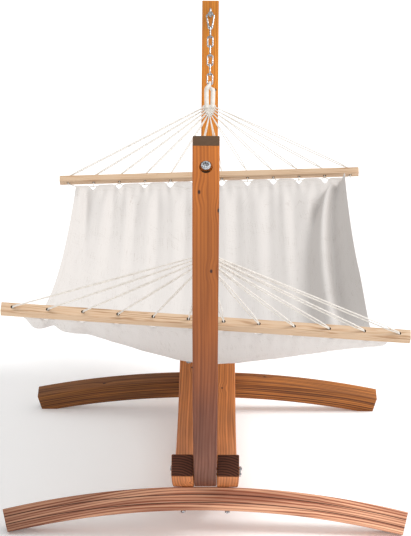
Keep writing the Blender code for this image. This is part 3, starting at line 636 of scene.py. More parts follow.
def hang_axes(side, distance=0.0):
    """Axes on the hanging line: X across, Z back up the line."""
    up_line = -down_line(side)
    across = np.array([1.0, 0, 0])
    return axes_at(swing_point(side) - distance * up_line, across, np.cross(up_line, across), up_line)


def bar_axes(side):
    """Axes of a bar: X along it, Y through its holes to the cloth, Z square to both."""
    along = np.array([math.cos(BAR_ROLL[side]), 0, -math.sin(BAR_ROLL[side])])
    down = down_line(side)
    through = unit(down - (down @ along) * along)
    return axes_at(swing_point(side) + BAR_DISTANCE * down, along, through, np.cross(along, through))


hole_reach = BAR_LENGTH / 2 - BAR_END_MARGIN
HOLE_PLACES = np.linspace(-hole_reach, hole_reach, BAR_HOLES)
HEM_EDGE = BAR_THICKNESS / 2 + CORD_TO_CLOTH
hole_pitch = HOLE_PLACES[1] - HOLE_PLACES[0]
print("arc centre", round(ARC_HEIGHT, 4), "m up, holes every", round(hole_pitch * 1000, 1), "mm")

# %% [markdown]
# A board is a rounded rectangle carried along an arc. Its long edges are eased by 3.5 mm, and the
# ends by 1.5 mm: the last rings shrink inwards as a quarter circle does. Holes are cut afterwards.
# Then each corner of the mesh gets its place on the straight board, by turning the bend back.

# %% Bent boards
EDGE_RADIUS = 0.0035
END_EASE = 0.0015
CUT_ACROSS = 0.8            # a face whose direction lies this much along the board shows end grain


def rounded_rectangle(width, height, radius, steps=5):
    """Four quarter circles, and the outward direction at each of their points."""
    turn = np.radians(np.linspace(0, 90, steps + 1))
    quarter = np.stack([np.cos(turn), np.sin(turn)], -1)
    points, normals = [], []
    for k, (right_side, top_side) in enumerate(((1, 1), (-1, 1), (-1, -1), (1, -1))):
        cosine, sine = round(math.cos(k * math.pi / 2)), round(math.sin(k * math.pi / 2))
        direction = quarter @ np.array([[cosine, sine], [-sine, cosine]])
        centre = np.array([right_side * (width / 2 - radius), top_side * (height / 2 - radius)])
        points.append(centre + radius * direction)
        normals.append(direction)
    return np.concatenate(points), np.concatenate(normals)


def eased_stations(length, steps):
    """Places along a board, and how far its outline shrinks there.

    Within the ease of an end the shrinking is e - root(e squared - (e - s) squared).
    """
    near = END_EASE * (1 - np.cos(np.radians([0, 30, 60, 90])))
    place = np.concatenate([near, np.linspace(0, length, steps + 1)[1:-1], (length - near)[::-1]])
    s = np.minimum(np.minimum(place, length - place), END_EASE)
    return place, END_EASE - np.sqrt(np.maximum(END_EASE ** 2 - (END_EASE - s) ** 2, 0))


def board_shell(width, depth, radius, start, end, steps, centre_axes):
    """A board bent round the X axis of its axes, from one angle to another, up from straight down."""
    outline, normals = rounded_rectangle(width, depth, EDGE_RADIUS)
    place, shrink = eased_stations(radius * (end - start), steps)
    angle = start + place / radius
    zero = np.zeros_like(angle)
    path = np.stack([zero, radius * np.sin(angle), -radius * np.cos(angle)], -1)
    inward = np.stack([zero, -np.sin(angle), np.cos(angle)], -1)
    across = np.broadcast_to([1.0, 0, 0], path.shape)
    rings = rings_along(path, across, inward, outline - shrink[:, None, None] * normals)
    return ring_shell(placed(rings, centre_axes))


def unbend(points, centre_axes, radius):
    """Place on the straight board: x, radius less the distance to the axis, radius times the angle."""
    local = (points - centre_axes[:3, 3]) @ centre_axes[:3, :3]
    distance = np.hypot(local[:, 1], local[:, 2])
    return np.stack([local[:, 0], radius - distance,
                     radius * np.arctan2(local[:, 1], -local[:, 2])], -1)


def mark_grain(piece, unbent):
    """Store the board attribute, and give the second material to faces that look along the board."""
    mesh = piece.data
    store_vectors(mesh, "board", unbent(read_vectors(mesh.vertices, "co")))
    centres, normals = read_vectors(mesh.polygons, "center"), read_vectors(mesh.polygons, "normal")
    step = 0.001
    moved = unbent(centres + step * normals) - unbent(centres)
    mesh.polygons.foreach_set("material_index", (np.abs(moved[:, 2]) > CUT_ACROSS * step).astype(np.int32))


def add_board(name, width, depth, bend, steps, cuts, materials, node):
    """Make, cut, mark and finish a board of the stand. Its bend is a middle radius, two angles and axes."""
    middle, start, stop, axes = bend
    piece = mesh_of(name, [board_shell(width, depth, middle, start, stop, steps, axes)])
    if cuts:
        carve(piece, cuts)
    mark_grain(piece, lambda points: unbend(points, axes, middle))
    return finish_piece(piece, materials, "stand", [node], 32)


print("board edges eased by", EDGE_RADIUS * 1000, "mm and ends by", END_EASE * 1000, "mm")

# %% [markdown]
# The two base beams are darker than the rest. Their bolt holes stay in the frame's own solids, and
# the heads and nuts cover them here, so the only cuts that show are the counterbores in the arms and
# the level pads under the feet.

# %% Beams and arms
centre_axes = np.eye(4)
centre_axes[2, 3] = ARC_HEIGHT
board_middle = ARC_RADIUS - BOARD_DEPTH / 2

beam_wood = {
    "left": oiled_larch("dark_oiled_larch_left", "#d98443", "#a3602f",
                        [(0.012, 0.55), (-0.018, -0.31), (0.02, -0.74)], 3.1),
    "right": oiled_larch("dark_oiled_larch_right", "#dc8642", "#a8622f",
                         [(-0.014, 0.42), (0.016, -0.48)], 7.7),
}
for hand, sign in (("left", -1), ("right", 1)):
    axes = centre_axes.copy()
    axes[0, 3] = sign * BEAM_MIDDLE
    add_board("beam_" + hand, BEAM_WIDTH, BOARD_DEPTH, (board_middle, -BEAM_END_ANGLE, BEAM_END_ANGLE, axes),
              120, [], [beam_wood[hand], dark_end_grain], "base_beam_" + hand)

arm_wood = {
    "front": oiled_larch("oiled_larch_front_arm", "#cf7726", "#96501b",
                         # The front arm's purple-grey tint darkens its lower end: partly the wood's own tone,
                         # partly painted shade where its face turns down.
                         [(-0.016, -2.098), (0.031, -2.049), (0.014, -1.877)], 1.4,
                         contrast=0.75, tint="#948193", tint_and_painted_shade_span=(-2.2, -1.35)),
    "rear": oiled_larch("oiled_larch_rear_arm", "#e08d2a", "#a8611e",
                        [(0.022, 1.86), (-0.02, 1.52), (0.01, 1.18)], 5.2, contrast=0.75),
}
shank_bore, past_board = BOLT_RADIUS + 0.0005, 0.02
stepped_hole = [(COUNTERBORE_RADIUS, -past_board), (COUNTERBORE_RADIUS, COUNTERBORE_DEPTH),
                (shank_bore, COUNTERBORE_DEPTH), (shank_bore, BOARD_DEPTH + past_board)]
for end, side in SIDES.items():
    start, stop = sorted((side * ARM_LOWER_ANGLE, side * ARM_TIP_ANGLE))
    cuts = [turned(stepped_hole, arc_axes(side, EYE_ANGLE, ARC_RADIUS), 64)]
    add_board(f"arm_{end}_timber", ARM_WIDTH, BOARD_DEPTH, (board_middle, start, stop, centre_axes), 130,
              cuts, [arm_wood[end], end_grain], "arm_" + end)
print("beams and arms follow a circle of", ARC_RADIUS, "m")

# %% [markdown]
# A foot is an arch that lies square to the beams, so it leans with the circle. Its low corners are
# sawn off level with the floor.

# %% Feet
foot_wood = {
    # The tints darken both feet towards their left ends.
    "front": oiled_larch("oiled_larch_front_foot", "#f6bd98", "#93533a", [(0.01, -0.33), (-0.012, 0.41)],
                         9.3, FOOT_DEPTH, 1.1, 0.0065, "#c4bcb8", (0.0, 0.6)),
    "rear": oiled_larch("oiled_larch_rear_foot", "#d08036", "#6a3814", [(0.012, 0.2), (-0.01, -0.36)],
                        2.6, FOOT_DEPTH, 1.1, 0.0065, "#bbbfc2", (0.2, -0.2)),
}
foot_middle = FOOT_ARCH_RADIUS - FOOT_DEPTH / 2
slab = np.array([[-0.8, -0.2], [0.8, -0.2], [0.8, 0.2], [-0.8, 0.2]])      # wider than a foot
for end, side in SIDES.items():
    seat = arc_axes(side, FOOT_ANGLE, ARC_RADIUS + TOUCH)
    arch_centre = seat[:3, 3] - FOOT_ARCH_RADIUS * seat[:3, 2]
    arch_axes = axes_at(arch_centre, seat[:3, 1], seat[:3, 0], -seat[:3, 2])
    floor_cut = ring_shell(np.stack([np.column_stack([slab, np.full(4, z)]) for z in (-0.1, 0.0)])
                           + [0, seat[1, 3], 0])
    add_board(f"foot_{end}_timber", FOOT_WIDTH, FOOT_DEPTH,
              (foot_middle, -FOOT_HALF_ANGLE, FOOT_HALF_ANGLE, arch_axes), 110, [floor_cut],
              [foot_wood[end], end_grain], "foot_" + end)
print("feet seat on the beams", round(2 * float(seat[1, 3]), 3), "m apart")

# %% [markdown]
# Bolt heads are low domes, and nuts are hexagons whose corners are turned off above and below. A
# hexagon's edge lies at half its width over the cosine of the angle to the middle of its side.

# %% Bolts and nuts
NUT_SIDES, NUT_CHAMFER = 48, 0.0009
HEAD_RADIUS, HEAD_HEIGHT = 0.0095, 0.0045
THREAD_PITCH, THREAD_DEPTH, TIP_TAPER = 0.00125, 0.0003, 0.0012


def axes_between(start, end):
    """Axes at the start, with Z towards the end."""
    up_axis = unit(end - start)
    side_axis = unit(np.cross([0.31, 0.95, 0.11], up_axis))
    return axes_at(start, side_axis, np.cross(up_axis, side_axis), up_axis)


def nut_shell(bottom, axes):
    """Rings: bore, chamfer circle, hexagon, hexagon, chamfer circle, bore, and closed on itself."""
    angle = np.arange(NUT_SIDES) * math.tau / NUT_SIDES
    hexagon = NUT_ACROSS_FLATS / 2 / np.cos((angle + math.pi / 6) % (math.pi / 3) - math.pi / 6)
    turned_off = np.minimum(hexagon, NUT_ACROSS_FLATS / 2 * 1.01)
    bore, top = BOLT_RADIUS + 0.0001, bottom + NUT_HEIGHT
    return turned([(bore, bottom), (turned_off, bottom), (hexagon, bottom + NUT_CHAMFER),
                   (hexagon, top - NUT_CHAMFER), (turned_off, top), (bore, top)], axes, NUT_SIDES, True)


def thread(start, stop):
    """Radii that go in and out every 1.25 mm."""
    return [(BOLT_RADIUS - THREAD_DEPTH * (k % 2), z)
            for k, z in enumerate(np.arange(start, stop, THREAD_PITCH / 2))]


def bolt_shell(length, axes):
    """A dome, a shank and a thread."""
    dome = [(HEAD_RADIUS * math.cos(a), -TOUCH - HEAD_HEIGHT * math.sin(a))
            for a in np.radians([88, 75, 60, 45, 30, 15, 3])]
    tip = length + TOUCH + NUT_HEIGHT + 0.002
    profile = [*dome, (HEAD_RADIUS, -TOUCH), (BOLT_RADIUS, -TOUCH), *thread(length - 0.004, tip - 0.0012),
               (BOLT_RADIUS - THREAD_DEPTH, tip - 0.001), (BOLT_RADIUS - TIP_TAPER, tip)]
    return turned(profile, axes)


def foot_bolt_ends(side, across):
    """The level seats of a foot bolt, on the beam's top and under the foot's arch."""
    axes = arc_axes(side, FOOT_ANGLE, ARC_RADIUS)
    reach = abs(across) + SPOT_FACE_RADIUS
    drop = FOOT_ARCH_RADIUS - math.sqrt(FOOT_ARCH_RADIUS ** 2 - reach ** 2)
    place = axes[:3, 3] + np.array([across, 0, 0])
    return (place + (BOARD_DEPTH - SPOT_FACE_DEPTH) * axes[:3, 2],
            place - (TOUCH + drop + FOOT_DEPTH - SPOT_FACE_DEPTH) * axes[:3, 2])


bolt_ends = {}
half_span = np.array([BEAM_MIDDLE + BEAM_WIDTH / 2, 0, 0])
for end, side in SIDES.items():
    for place, angle in ARM_BOLT_ANGLES.items():
        middle = arc_axes(side, angle, board_middle)[:3, 3]
        bolt_ends[f"arm_{{}}_{end}_{place}"] = (middle - half_span, middle + half_span)
    for hand, sign in (("left", -1), ("right", 1)):
        bolt_ends[f"foot_{{}}_{end}_{hand}"] = foot_bolt_ends(side, sign * BEAM_MIDDLE)
for name, (start, stop) in bolt_ends.items():
    axes = axes_between(start, stop)
    length = float(np.linalg.norm(stop - start))
    for what, shell in (("bolt", bolt_shell(length, axes)), ("nut", nut_shell(length + TOUCH, axes))):
        node = name.format(what)
        add_steel(node + "_steel", [shell], "stand", node)
print(len(bolt_ends), "bolts with their nuts")

# %% [markdown]
# Each eye bolt is a threaded shank with a collar that seats on the arm's inner face, and a forged
# ring. The ring is a tube along a circle. The washer is a ring too, with a rounded rim.

# %% Eye bolts
EYE_STEPS = 64
nut_seat = -(BOARD_DEPTH - COUNTERBORE_DEPTH)
washer_top = nut_seat - TOUCH
washer_bottom = washer_top - WASHER_THICKNESS
nut_bottom = washer_bottom - TOUCH - NUT_HEIGHT
tail = nut_bottom - 0.002
collar = [(0.0094, 0), (0.0100, 0.0006), (0.0100, 0.0024), (0.0094, 0.0030), (0.0056, 0.0030),
          (0.0046, 0.0050)]
shank_profile = [(BOLT_RADIUS - TIP_TAPER, tail), *thread(tail + 0.0008, nut_seat + 0.004),
                 (BOLT_RADIUS, nut_seat + 0.005), (BOLT_RADIUS, TOUCH),
                 *((radius, TOUCH + height) for radius, height in collar),
                 (0.0042, EYE_STANDOFF - EYE_RADIUS)]
washer_profile = [(BOLT_RADIUS + 0.0003, washer_bottom + 0.0003), (BOLT_RADIUS + 0.0006, washer_bottom),
                  (WASHER_RADIUS - 0.0008, washer_bottom), (WASHER_RADIUS, washer_bottom + 0.0007),
                  (WASHER_RADIUS, washer_top - 0.0003), (WASHER_RADIUS - 0.0003, washer_top),
                  (BOLT_RADIUS + 0.0003, washer_top)]
turn = np.arange(EYE_STEPS) * math.tau / EYE_STEPS
ring_path = np.stack([0 * turn, EYE_RADIUS * np.sin(turn), EYE_STANDOFF - EYE_RADIUS * np.cos(turn)], -1)
for end, side in SIDES.items():
    axes = arc_axes(side, EYE_ANGLE, ARC_RADIUS - BOARD_DEPTH)
    ring = tube(placed(ring_path, axes), EYE_WIRE / 2, [1.0, 0, 0], 20, closed=True)
    for what, shells in (("eye_bolt_", [turned(shank_profile, axes), ring]),
                         ("eye_washer_", [turned(washer_profile, axes, EYE_STEPS, closed=True)]),
                         ("eye_nut_", [nut_shell(nut_bottom, axes)])):
        add_steel(what + end + "_steel", shells, "stand", what + end)
print("eye rings", round(2 * EYE_RADIUS * 1000, 1), "mm across, middle to middle")

# %% [markdown]
# A spring hook is one bent wire, wide where the eye sits and narrow where the chain hangs. Its gate
# is a straight wire, flattened at the pin it turns on. Bends are arcs, and the wire's end is rounded
# by letting the radius fall as a quarter circle.

# %% Spring hooks
HOOK_WIRE, HOOK_LENGTH, HOOK_TOP_HALF, HOOK_CORNER, HOOK_BOTTOM = 0.007, 0.064, 0.0140, 0.0070, 0.0070
NOSE_SHARE, PIVOT_SHARE = 0.13, 0.78
GATE_WIRE, GATE_TANG, GATE_GAP = 0.0058, 0.0032, 0.0006
CHEEK_RADIUS, CHEEK_THICKNESS, PIN_RADIUS = 0.0042, 0.0014, 0.0012
HOOK_TOP = -(EYE_WIRE / 2 + HOOK_WIRE / 2 + 0.001)
HOOK_END = HOOK_TOP + HOOK_LENGTH


def hook_side(share):
    """A place on the open side, from the top corner (0) to the narrow end (1), as (x, z)."""
    top = np.array([-HOOK_TOP_HALF, -(HOOK_TOP + HOOK_CORNER)])
    bottom = np.array([-HOOK_BOTTOM, -(HOOK_END - HOOK_BOTTOM)])
    return top + share * (bottom - top)


def round_ended(path, radius):
    """The path in even steps, and radii that fall as a quarter circle within one radius of each end."""
    path = resample(path, radius * 0.2)
    length = np.linalg.norm(np.diff(path, axis=0), axis=1).sum()
    s = np.linspace(0, length, len(path))
    inset = np.clip(1 - np.minimum(s, length - s) / radius, 0, 0.985)
    return path, radius * np.sqrt(1 - inset ** 2)


def in_depth(points, depth=0.0):
    """Put a depth between the two coordinates of points in a plane."""
    return np.stack([points[:, 0], np.full(len(points), depth), points[:, 1]], -1)


def plate_shell(outline, bottom, top, axes):
    """A flat plate with slightly eased rims: the outline, drawn in by 0.25 mm at both faces."""
    middle = outline.mean(0)
    eased = outline - 0.00025 * unit(outline - middle)
    levels = ((eased, bottom), (outline, bottom + 0.00025), (outline, top - 0.00025), (eased, top))
    return ring_shell(placed(np.stack([np.column_stack([flat, np.full(len(flat), z)])
                                       for flat, z in levels]), axes))


open_side = unit(hook_side(0) - hook_side(1))
pivot = hook_side(PIVOT_SHARE)
corner_x, corner_z = HOOK_TOP_HALF - HOOK_CORNER, -(HOOK_TOP + HOOK_CORNER)
hook_flat = np.concatenate([
    [hook_side(NOSE_SHARE)],
    arc(-corner_x, corner_z, HOOK_CORNER, 180, 90, 16),
    arc(corner_x, corner_z, HOOK_CORNER, 90, 0, 16),
    arc(0, -(HOOK_END - HOOK_BOTTOM), HOOK_BOTTOM, 0, -180, 28),
    [pivot - (CHEEK_RADIUS + GATE_GAP) * open_side],
])
hook_path, hook_radius = round_ended(in_depth(hook_flat), HOOK_WIRE / 2)

up_axis, normal = np.array([open_side[0], 0, open_side[1]]), np.array([0, 1.0, 0])
pin_local = axes_at([pivot[0], 0, pivot[1]], up_axis, np.cross(normal, up_axis), normal)
pin_bore = np.array([[0, 0, -0.01], [0, 0, 0.01]])
inner, outer = GATE_TANG / 2 + TOUCH, GATE_TANG / 2 + TOUCH + CHEEK_THICKNESS
rod_start = CHEEK_RADIUS + GATE_GAP
rod_end = np.linalg.norm(pivot - hook_side(NOSE_SHARE)) - GATE_GAP
cheek_half = CHEEK_RADIUS * 0.8
cheek = np.concatenate([arc(0, 0, cheek_half, 90, -90, 14),
                        [(-rod_start - 0.003, -cheek_half), (-rod_start - 0.003, cheek_half)]])
tongue = np.concatenate([arc(0, 0, cheek_half, 270, 90, 14), [(rod_start + 0.002, cheek_half - 0.001),
                                                              (rod_start + 0.002, -cheek_half + 0.001)]])
half_rivet = [(PIN_RADIUS, outer), (PIN_RADIUS + 0.0004, outer), (PIN_RADIUS + 0.0004, outer + 0.0003),
              (0.0008, outer + 0.0006)]
rivet = [*((radius, -height) for radius, height in half_rivet[::-1]), *half_rivet]
gate_path, gate_radius = round_ended(np.array([[rod_start - 0.001, 0, 0], [rod_end, 0, 0]]), GATE_WIRE / 2)
for end, side in SIDES.items():
    axes = hang_axes(side)
    wire = tube(placed(hook_path, axes), hook_radius, axes[:3, 1], 20)
    pin_axes = axes @ pin_local
    cheeks = [plate_shell(cheek, low, high, pin_axes) for low, high in ((inner, outer), (-outer, -inner))]
    add_steel(f"spring_hook_{end}_steel", [wire, *cheeks, turned(rivet, pin_axes, 20)],
              f"{end}_suspension", "spring_hook_" + end)

    gate = mesh_of(f"hook_gate_{end}_steel", [plate_shell(tongue, -GATE_TANG / 2, GATE_TANG / 2, pin_axes)])
    carve(gate, [tube(placed(pin_bore, pin_axes), PIN_RADIUS + TOUCH, pin_axes[:3, 0], 20)])
    arm = mesh_of("gate_wire", [tube(placed(gate_path, pin_axes), gate_radius, pin_axes[:3, 2], 18)])
    with bpy.context.temp_override(active_object=gate, selected_editable_objects=[gate, arm]):
        bpy.ops.object.join()
    finish_piece(gate, [steel], f"{end}_gate", ["hook_gate_" + end])
print("gate rods", round((rod_end - rod_start) * 1000, 1), "mm long")

# %% [markdown]
# A chain link is a wire bent to two half circles and two straights, butt-welded half way along one
# straight. The weld leaves the wire a little thicker there. Each link sits a quarter turn from the
# one above.

# %% Chain
LINK_COUNT, LINK_WIRE, LINK_OUTER_WIDTH, LINK_PITCH, LINK_PLAY = 6, 0.006, 0.0255, 0.042, 0.0005
LINK_RADIUS = LINK_OUTER_WIDTH / 2 - LINK_WIRE / 2
LINK_LENGTH = LINK_PITCH + LINK_WIRE + LINK_PLAY
FIRST_LINK = HOOK_END - HOOK_WIRE / 2 - LINK_WIRE / 2 - LINK_PLAY
CHAIN_END = FIRST_LINK + (LINK_COUNT - 1) * LINK_PITCH + LINK_LENGTH

half_straight = LINK_LENGTH / 2 - LINK_RADIUS
straight = np.linspace(half_straight, -half_straight, 13)[1:-1]
link_flat = np.concatenate([
    arc(0, half_straight, LINK_RADIUS, 0, 180, 20),
    np.stack([np.full(11, -LINK_RADIUS), straight], -1),
    arc(0, -half_straight, LINK_RADIUS, 180, 360, 20),
    np.stack([np.full(11, LINK_RADIUS), straight[::-1]], -1),
])
weld = np.exp(-((link_flat[:, 1] / 0.0022) ** 2)) * (link_flat[:, 0] < -0.9 * LINK_RADIUS)
link_radius = LINK_WIRE / 2 * (1 + 0.13 * weld)
for end, side in SIDES.items():
    for number in range(LINK_COUNT):
        axes = hang_axes(side, FIRST_LINK + number * LINK_PITCH + LINK_LENGTH / 2)
        across, deep = axes[:3, 0].copy(), axes[:3, 1].copy()
        if number % 2 == 0:
            axes[:3, 0], axes[:3, 1] = deep, -across
        shell = tube(placed(in_depth(link_flat), axes), link_radius, axes[:3, 1], 16, closed=True)
        add_steel(f"link_{end}_{number + 1}_steel", [shell], f"{end}_suspension",
                  f"chain_link_{end}_{number + 1}")
print("links", round(LINK_LENGTH * 1000, 1), "mm long, middle to middle")

# %% [markdown]
# At each end the cords of the harness are bundled, doubled over the last link and bound with a
# thinner cord, wound tight. A winding on a tube is a radius that rises and falls along it, with a
# phase that turns once round the ring for each turn of cord, so the ridges climb like a screw.

# %% Bound rope eyes
ROPE_NECK, ROPE_RADIUS, ROPE_EYE_LENGTH, ROPE_EYE_SPREAD = 0.0047, 0.0088, 0.100, 0.0115
ROPE_TURN_SHARE = 0.2        # sooner than in the frame's plainer solid, so that the top is round
KNOT_LENGTH = 0.058
ROPE_TOP = CHAIN_END - LINK_WIRE / 2 - ROPE_NECK - 0.001
KNOT_END = ROPE_TOP + ROPE_EYE_LENGTH + KNOT_LENGTH
WINDING_CORD = 0.0030
SIDES_OF_ROPE, ROPE_STEP = 24, 0.0005


def rope_eye_path():
    """Over the link in an arc, then each leg turns a quarter round the middle line and moves off it."""
    over = LINK_WIRE / 2 + ROPE_NECK + 0.001
    crown = in_depth(arc(0, -over, over, -40, 220, 60))[:, [1, 0, 2]]
    share = np.linspace(0, 1, 60)[1:]
    turned_share = np.minimum(1, share / ROPE_TURN_SHARE)
    turn = math.pi / 2 * turned_share
    half_gap = crown[0, 1] + (ROPE_EYE_SPREAD + 0.001 - crown[0, 1]) * np.sin(turn) - 0.0022 * share ** 2
    drop = crown[0, 2] + (-(ROPE_EYE_LENGTH + 0.25 * KNOT_LENGTH) - crown[0, 2]) * share
    leg = np.stack([half_gap * np.sin(turn), half_gap * np.cos(turn), drop], -1)
    return np.concatenate([leg[::-1], crown, leg * [-1, -1, 1]])


for end, side in SIDES.items():
    path = smoothed(resample(rope_eye_path(), ROPE_STEP), 60)
    swell = np.clip((-0.012 - path[:, 2]) / 0.018, 0, 1)
    core = ROPE_NECK + (ROPE_RADIUS - 0.0002 - ROPE_NECK) * swell * swell * (3 - 2 * swell)
    s = np.arange(len(path)) * ROPE_STEP
    angle = np.arange(SIDES_OF_ROPE) * math.tau / SIDES_OF_ROPE
    phase = math.pi * s[:, None] / WINDING_CORD - angle / 2
    ridges = core[:, None] - 0.0007 * (1 - np.abs(np.cos(phase)) ** 0.8)
    outline = circle(SIDES_OF_ROPE) * ridges[..., None]
    axes = hang_axes(side, ROPE_TOP)
    add_cord(f"rope_eye_{end}_binding", [tube(placed(path, axes), 1.0, axes[:3, 0], outline=outline)],
             "rope_eye_" + end)
print("rope eyes bound with", WINDING_CORD * 1000, "mm cord")

# %% [markdown]
# A spreader bar is a straight rounded board with twelve holes through it, drilled square to it. They
# are cut out, and the faces inside them get a darker material: partly end grain, partly painted shade.


# %% Spreader bars
def bar_board(points, axes):
    """Across, through and along a straight bar."""
    local = (points - axes[:3, 3]) @ axes[:3, :3]
    return local[:, [1, 2, 0]]


for end, side in SIDES.items():
    axes = bar_axes(side)
    outline, normals = rounded_rectangle(BAR_THICKNESS, BAR_HEIGHT, 0.0032)
    place, shrink = eased_stations(BAR_LENGTH, 60)
    path = axes[:3, 3] + (place - BAR_LENGTH / 2)[:, None] * axes[:3, 0]
    first = np.broadcast_to(axes[:3, 1], path.shape)
    second = np.broadcast_to(axes[:3, 2], path.shape)
    shell = ring_shell(rings_along(path, first, second, outline - shrink[:, None, None] * normals))
    piece = mesh_of(f"spreader_bar_{end}_wood", [shell])
    reach = axes[:3, 1] * BAR_THICKNESS
    centres = axes[:3, 3] + HOLE_PLACES[:, None] * axes[:3, 0]
    carve(piece, [tube(np.stack([hole - reach, hole + reach]), BAR_HOLE_RADIUS, axes[:3, 0], 24)
                  for hole in centres])
    mark_grain(piece, lambda points, axes=axes: bar_board(points, axes))
    through, across, along = np.abs(bar_board(read_vectors(piece.data.polygons, "center"), axes)).T
    in_hole = ((through < BAR_THICKNESS / 2 - 0.0004) & (across < BAR_HOLE_RADIUS + 0.0005)
               & (along < BAR_LENGTH / 2 - 0.003))
    # Faces inside the holes get painted shade, along with their end grain.
    piece.data.polygons.foreach_set("material_index", in_hole.astype(np.int32))
    finish_piece(piece, [bar_wood, bore_end_grain_and_painted_shade], "bed", ["spreader_bar_" + end], 32)
print("bars with", BAR_HOLES, "holes of", 2 * BAR_HOLE_RADIUS * 1000, "mm")

# %% [markdown]
# The cloth hangs in a parabola between its hems and its sides stand higher than its middle. On that
# come the things that make it cloth: small gathers at both hems, long soft folds that start at the
# notches and die out, two deep folds down the right side, one narrow fold near the left, and the
# slack swags at the front left corner. At each hole the hem is cut back to a triangular notch, where
# the cord loop pulls on the hem cord. The surface is a function of two numbers, the place across and
# the place along, and the notches come from moving the rows next to the hem, so nothing is cut.

# %% The cloth's shape
CLOTH_SAG, CLOTH_LEFT_RISE, CLOTH_RIGHT_RISE, TROUGH_POWER = 0.316, 0.190, 0.135, 1.5
CLOTH_THICKNESS = 0.0011
COLUMNS_PER_HOLE, HALF_COLUMNS = 16, 83
NOTCH_COLUMNS = 3
NOTCH_DEPTH = 0.030
HEM_TO_BAR = 0.008          # nearer to the bar than the frame's plain solid
HEM_BAND = 0.032
BLEND_DEPTH = 0.060
HEM_LIFT = 0.0083           # the cords' pull turns the hem up into their own line

column = hole_pitch / COLUMNS_PER_HOLE
cloth_x = np.arange(-HALF_COLUMNS, HALF_COLUMNS + 1) * column
cloth_half = cloth_x[-1]
hem_rear = placed(np.array([0, HEM_EDGE, 0]), bar_axes(1))
hem_y, hem_z = hem_rear[1], hem_rear[2]
edge_y = placed(np.array([0, BAR_THICKNESS / 2 + HEM_TO_BAR, 0]), bar_axes(1))[1]


def notch_depth(x):
    """A triangle at each hole but the outer two: full depth at the hole, none three columns away."""
    away = np.abs(x[..., None] - HOLE_PLACES[1:-1]).min(-1)
    return NOTCH_DEPTH * np.clip(1 - away / (NOTCH_COLUMNS * column), 0, 1)


near_rows = np.array([0, 2, 4.5, 7.5, 11, 15, 19, 23, 27, 30, 32.5, 35, 39, 44, 50, 60]) / 1000
far_share = np.linspace(0, 1, 86)[1:]
far_rows = BLEND_DEPTH + (edge_y - BLEND_DEPTH) * far_share ** 1.35
distance = np.concatenate([near_rows, far_rows])
row_y = np.concatenate([distance - edge_y, (edge_y - distance)[-2::-1]])


def smooth_step(x, low, high):
    """Zero below low, one above high, and between them s squared times (3 - 2s)."""
    s = np.clip((x - low) / (high - low), 0, 1)
    return s * s * (3 - 2 * s)


def wave_train(x, length, phase, bend):
    """A cosine whose phase wanders slowly, so that no two folds are alike."""
    wander = np.sin(x * 9.1 + phase) + 0.6 * np.sin(x * 21.7)
    return np.cos(math.tau * x / length + phase + bend * wander)


def gathers(x, from_hem, seed, fullness, reach):
    """Small pleats that start at the stitched line, and long shallow folds that start at the notches."""
    small = 0.0048 * wave_train(x, 0.034, seed, 1.6) * smooth_step(from_hem, 0.004, 0.040)
    small += 0.0026 * wave_train(x, 0.019, 2 * seed, 1.1) * smooth_step(from_hem, 0.010, 0.036)
    long = fullness * wave_train(x, hole_pitch, seed + 1.3, 0.9) * smooth_step(from_hem, 0.02, 0.14)
    long += 0.35 * fullness * wave_train(x, 0.047, 3 * seed, 1.4) * smooth_step(from_hem, 0.03, 0.12)
    return small * np.exp(-from_hem / 0.085) + long * np.exp(-from_hem / reach)


FOLD_PROFILE = [(-1.2, 0), (-0.30, -0.004), (-0.02, -0.016), (0.0, -0.017), (0.02, -0.014), (0.28, 0.054),
                (0.35, 0.056), (0.44, 0.040), (0.56, 0.012), (0.60, 0.008), (0.66, 0.012), (1.0, 0.104)]


def right_folds(x, from_rear):
    """Two ridges and two valleys between the fold's edge and the cloth's side.

    The edge runs from the corner of the rear hem inwards, as an exponential, and what lies outside
    it is squeezed towards the corner with it.
    """
    edge = 0.340 + 0.135 * np.exp(-from_rear / 0.17)
    place = (x - edge) / (cloth_half - edge)
    places, heights = zip(*FOLD_PROFILE)
    profile = np.interp(place, places, heights)
    strength = smooth_step(from_rear, 0.0, 0.14) * (1 - smooth_step(from_rear, 0.95, 1.75))
    return profile * strength


def left_fold(x, from_rear):
    """One narrow valley that leaves the rear hem near the left corner and fades out."""
    line = -0.452 + 0.05 * from_rear
    valley = np.exp(-((x - line) / 0.010) ** 2) - 0.7 * np.exp(-((x - line + 0.021) / 0.012) ** 2)
    return -0.025 * valley * smooth_step(from_rear, 0.0, 0.05) * np.exp(-from_rear / 0.30)


def front_swags(x, from_front):
    """Between its fastenings at the front left the cloth hangs in swags, each half a sine."""
    swag = np.zeros_like(x)
    fastened = np.concatenate([[-cloth_half], HOLE_PLACES[1:5]])
    for left, right_end, sag in zip(fastened, fastened[1:], (0.026, 0.022, 0.007, 0.004)):
        share = np.clip((x - left) / (right_end - left), 0, 1)
        swag += sag * np.sin(math.pi * share)
    return -swag * smooth_step(from_front, -0.01, 0.045) * np.exp(-(from_front / 0.30) ** 2)


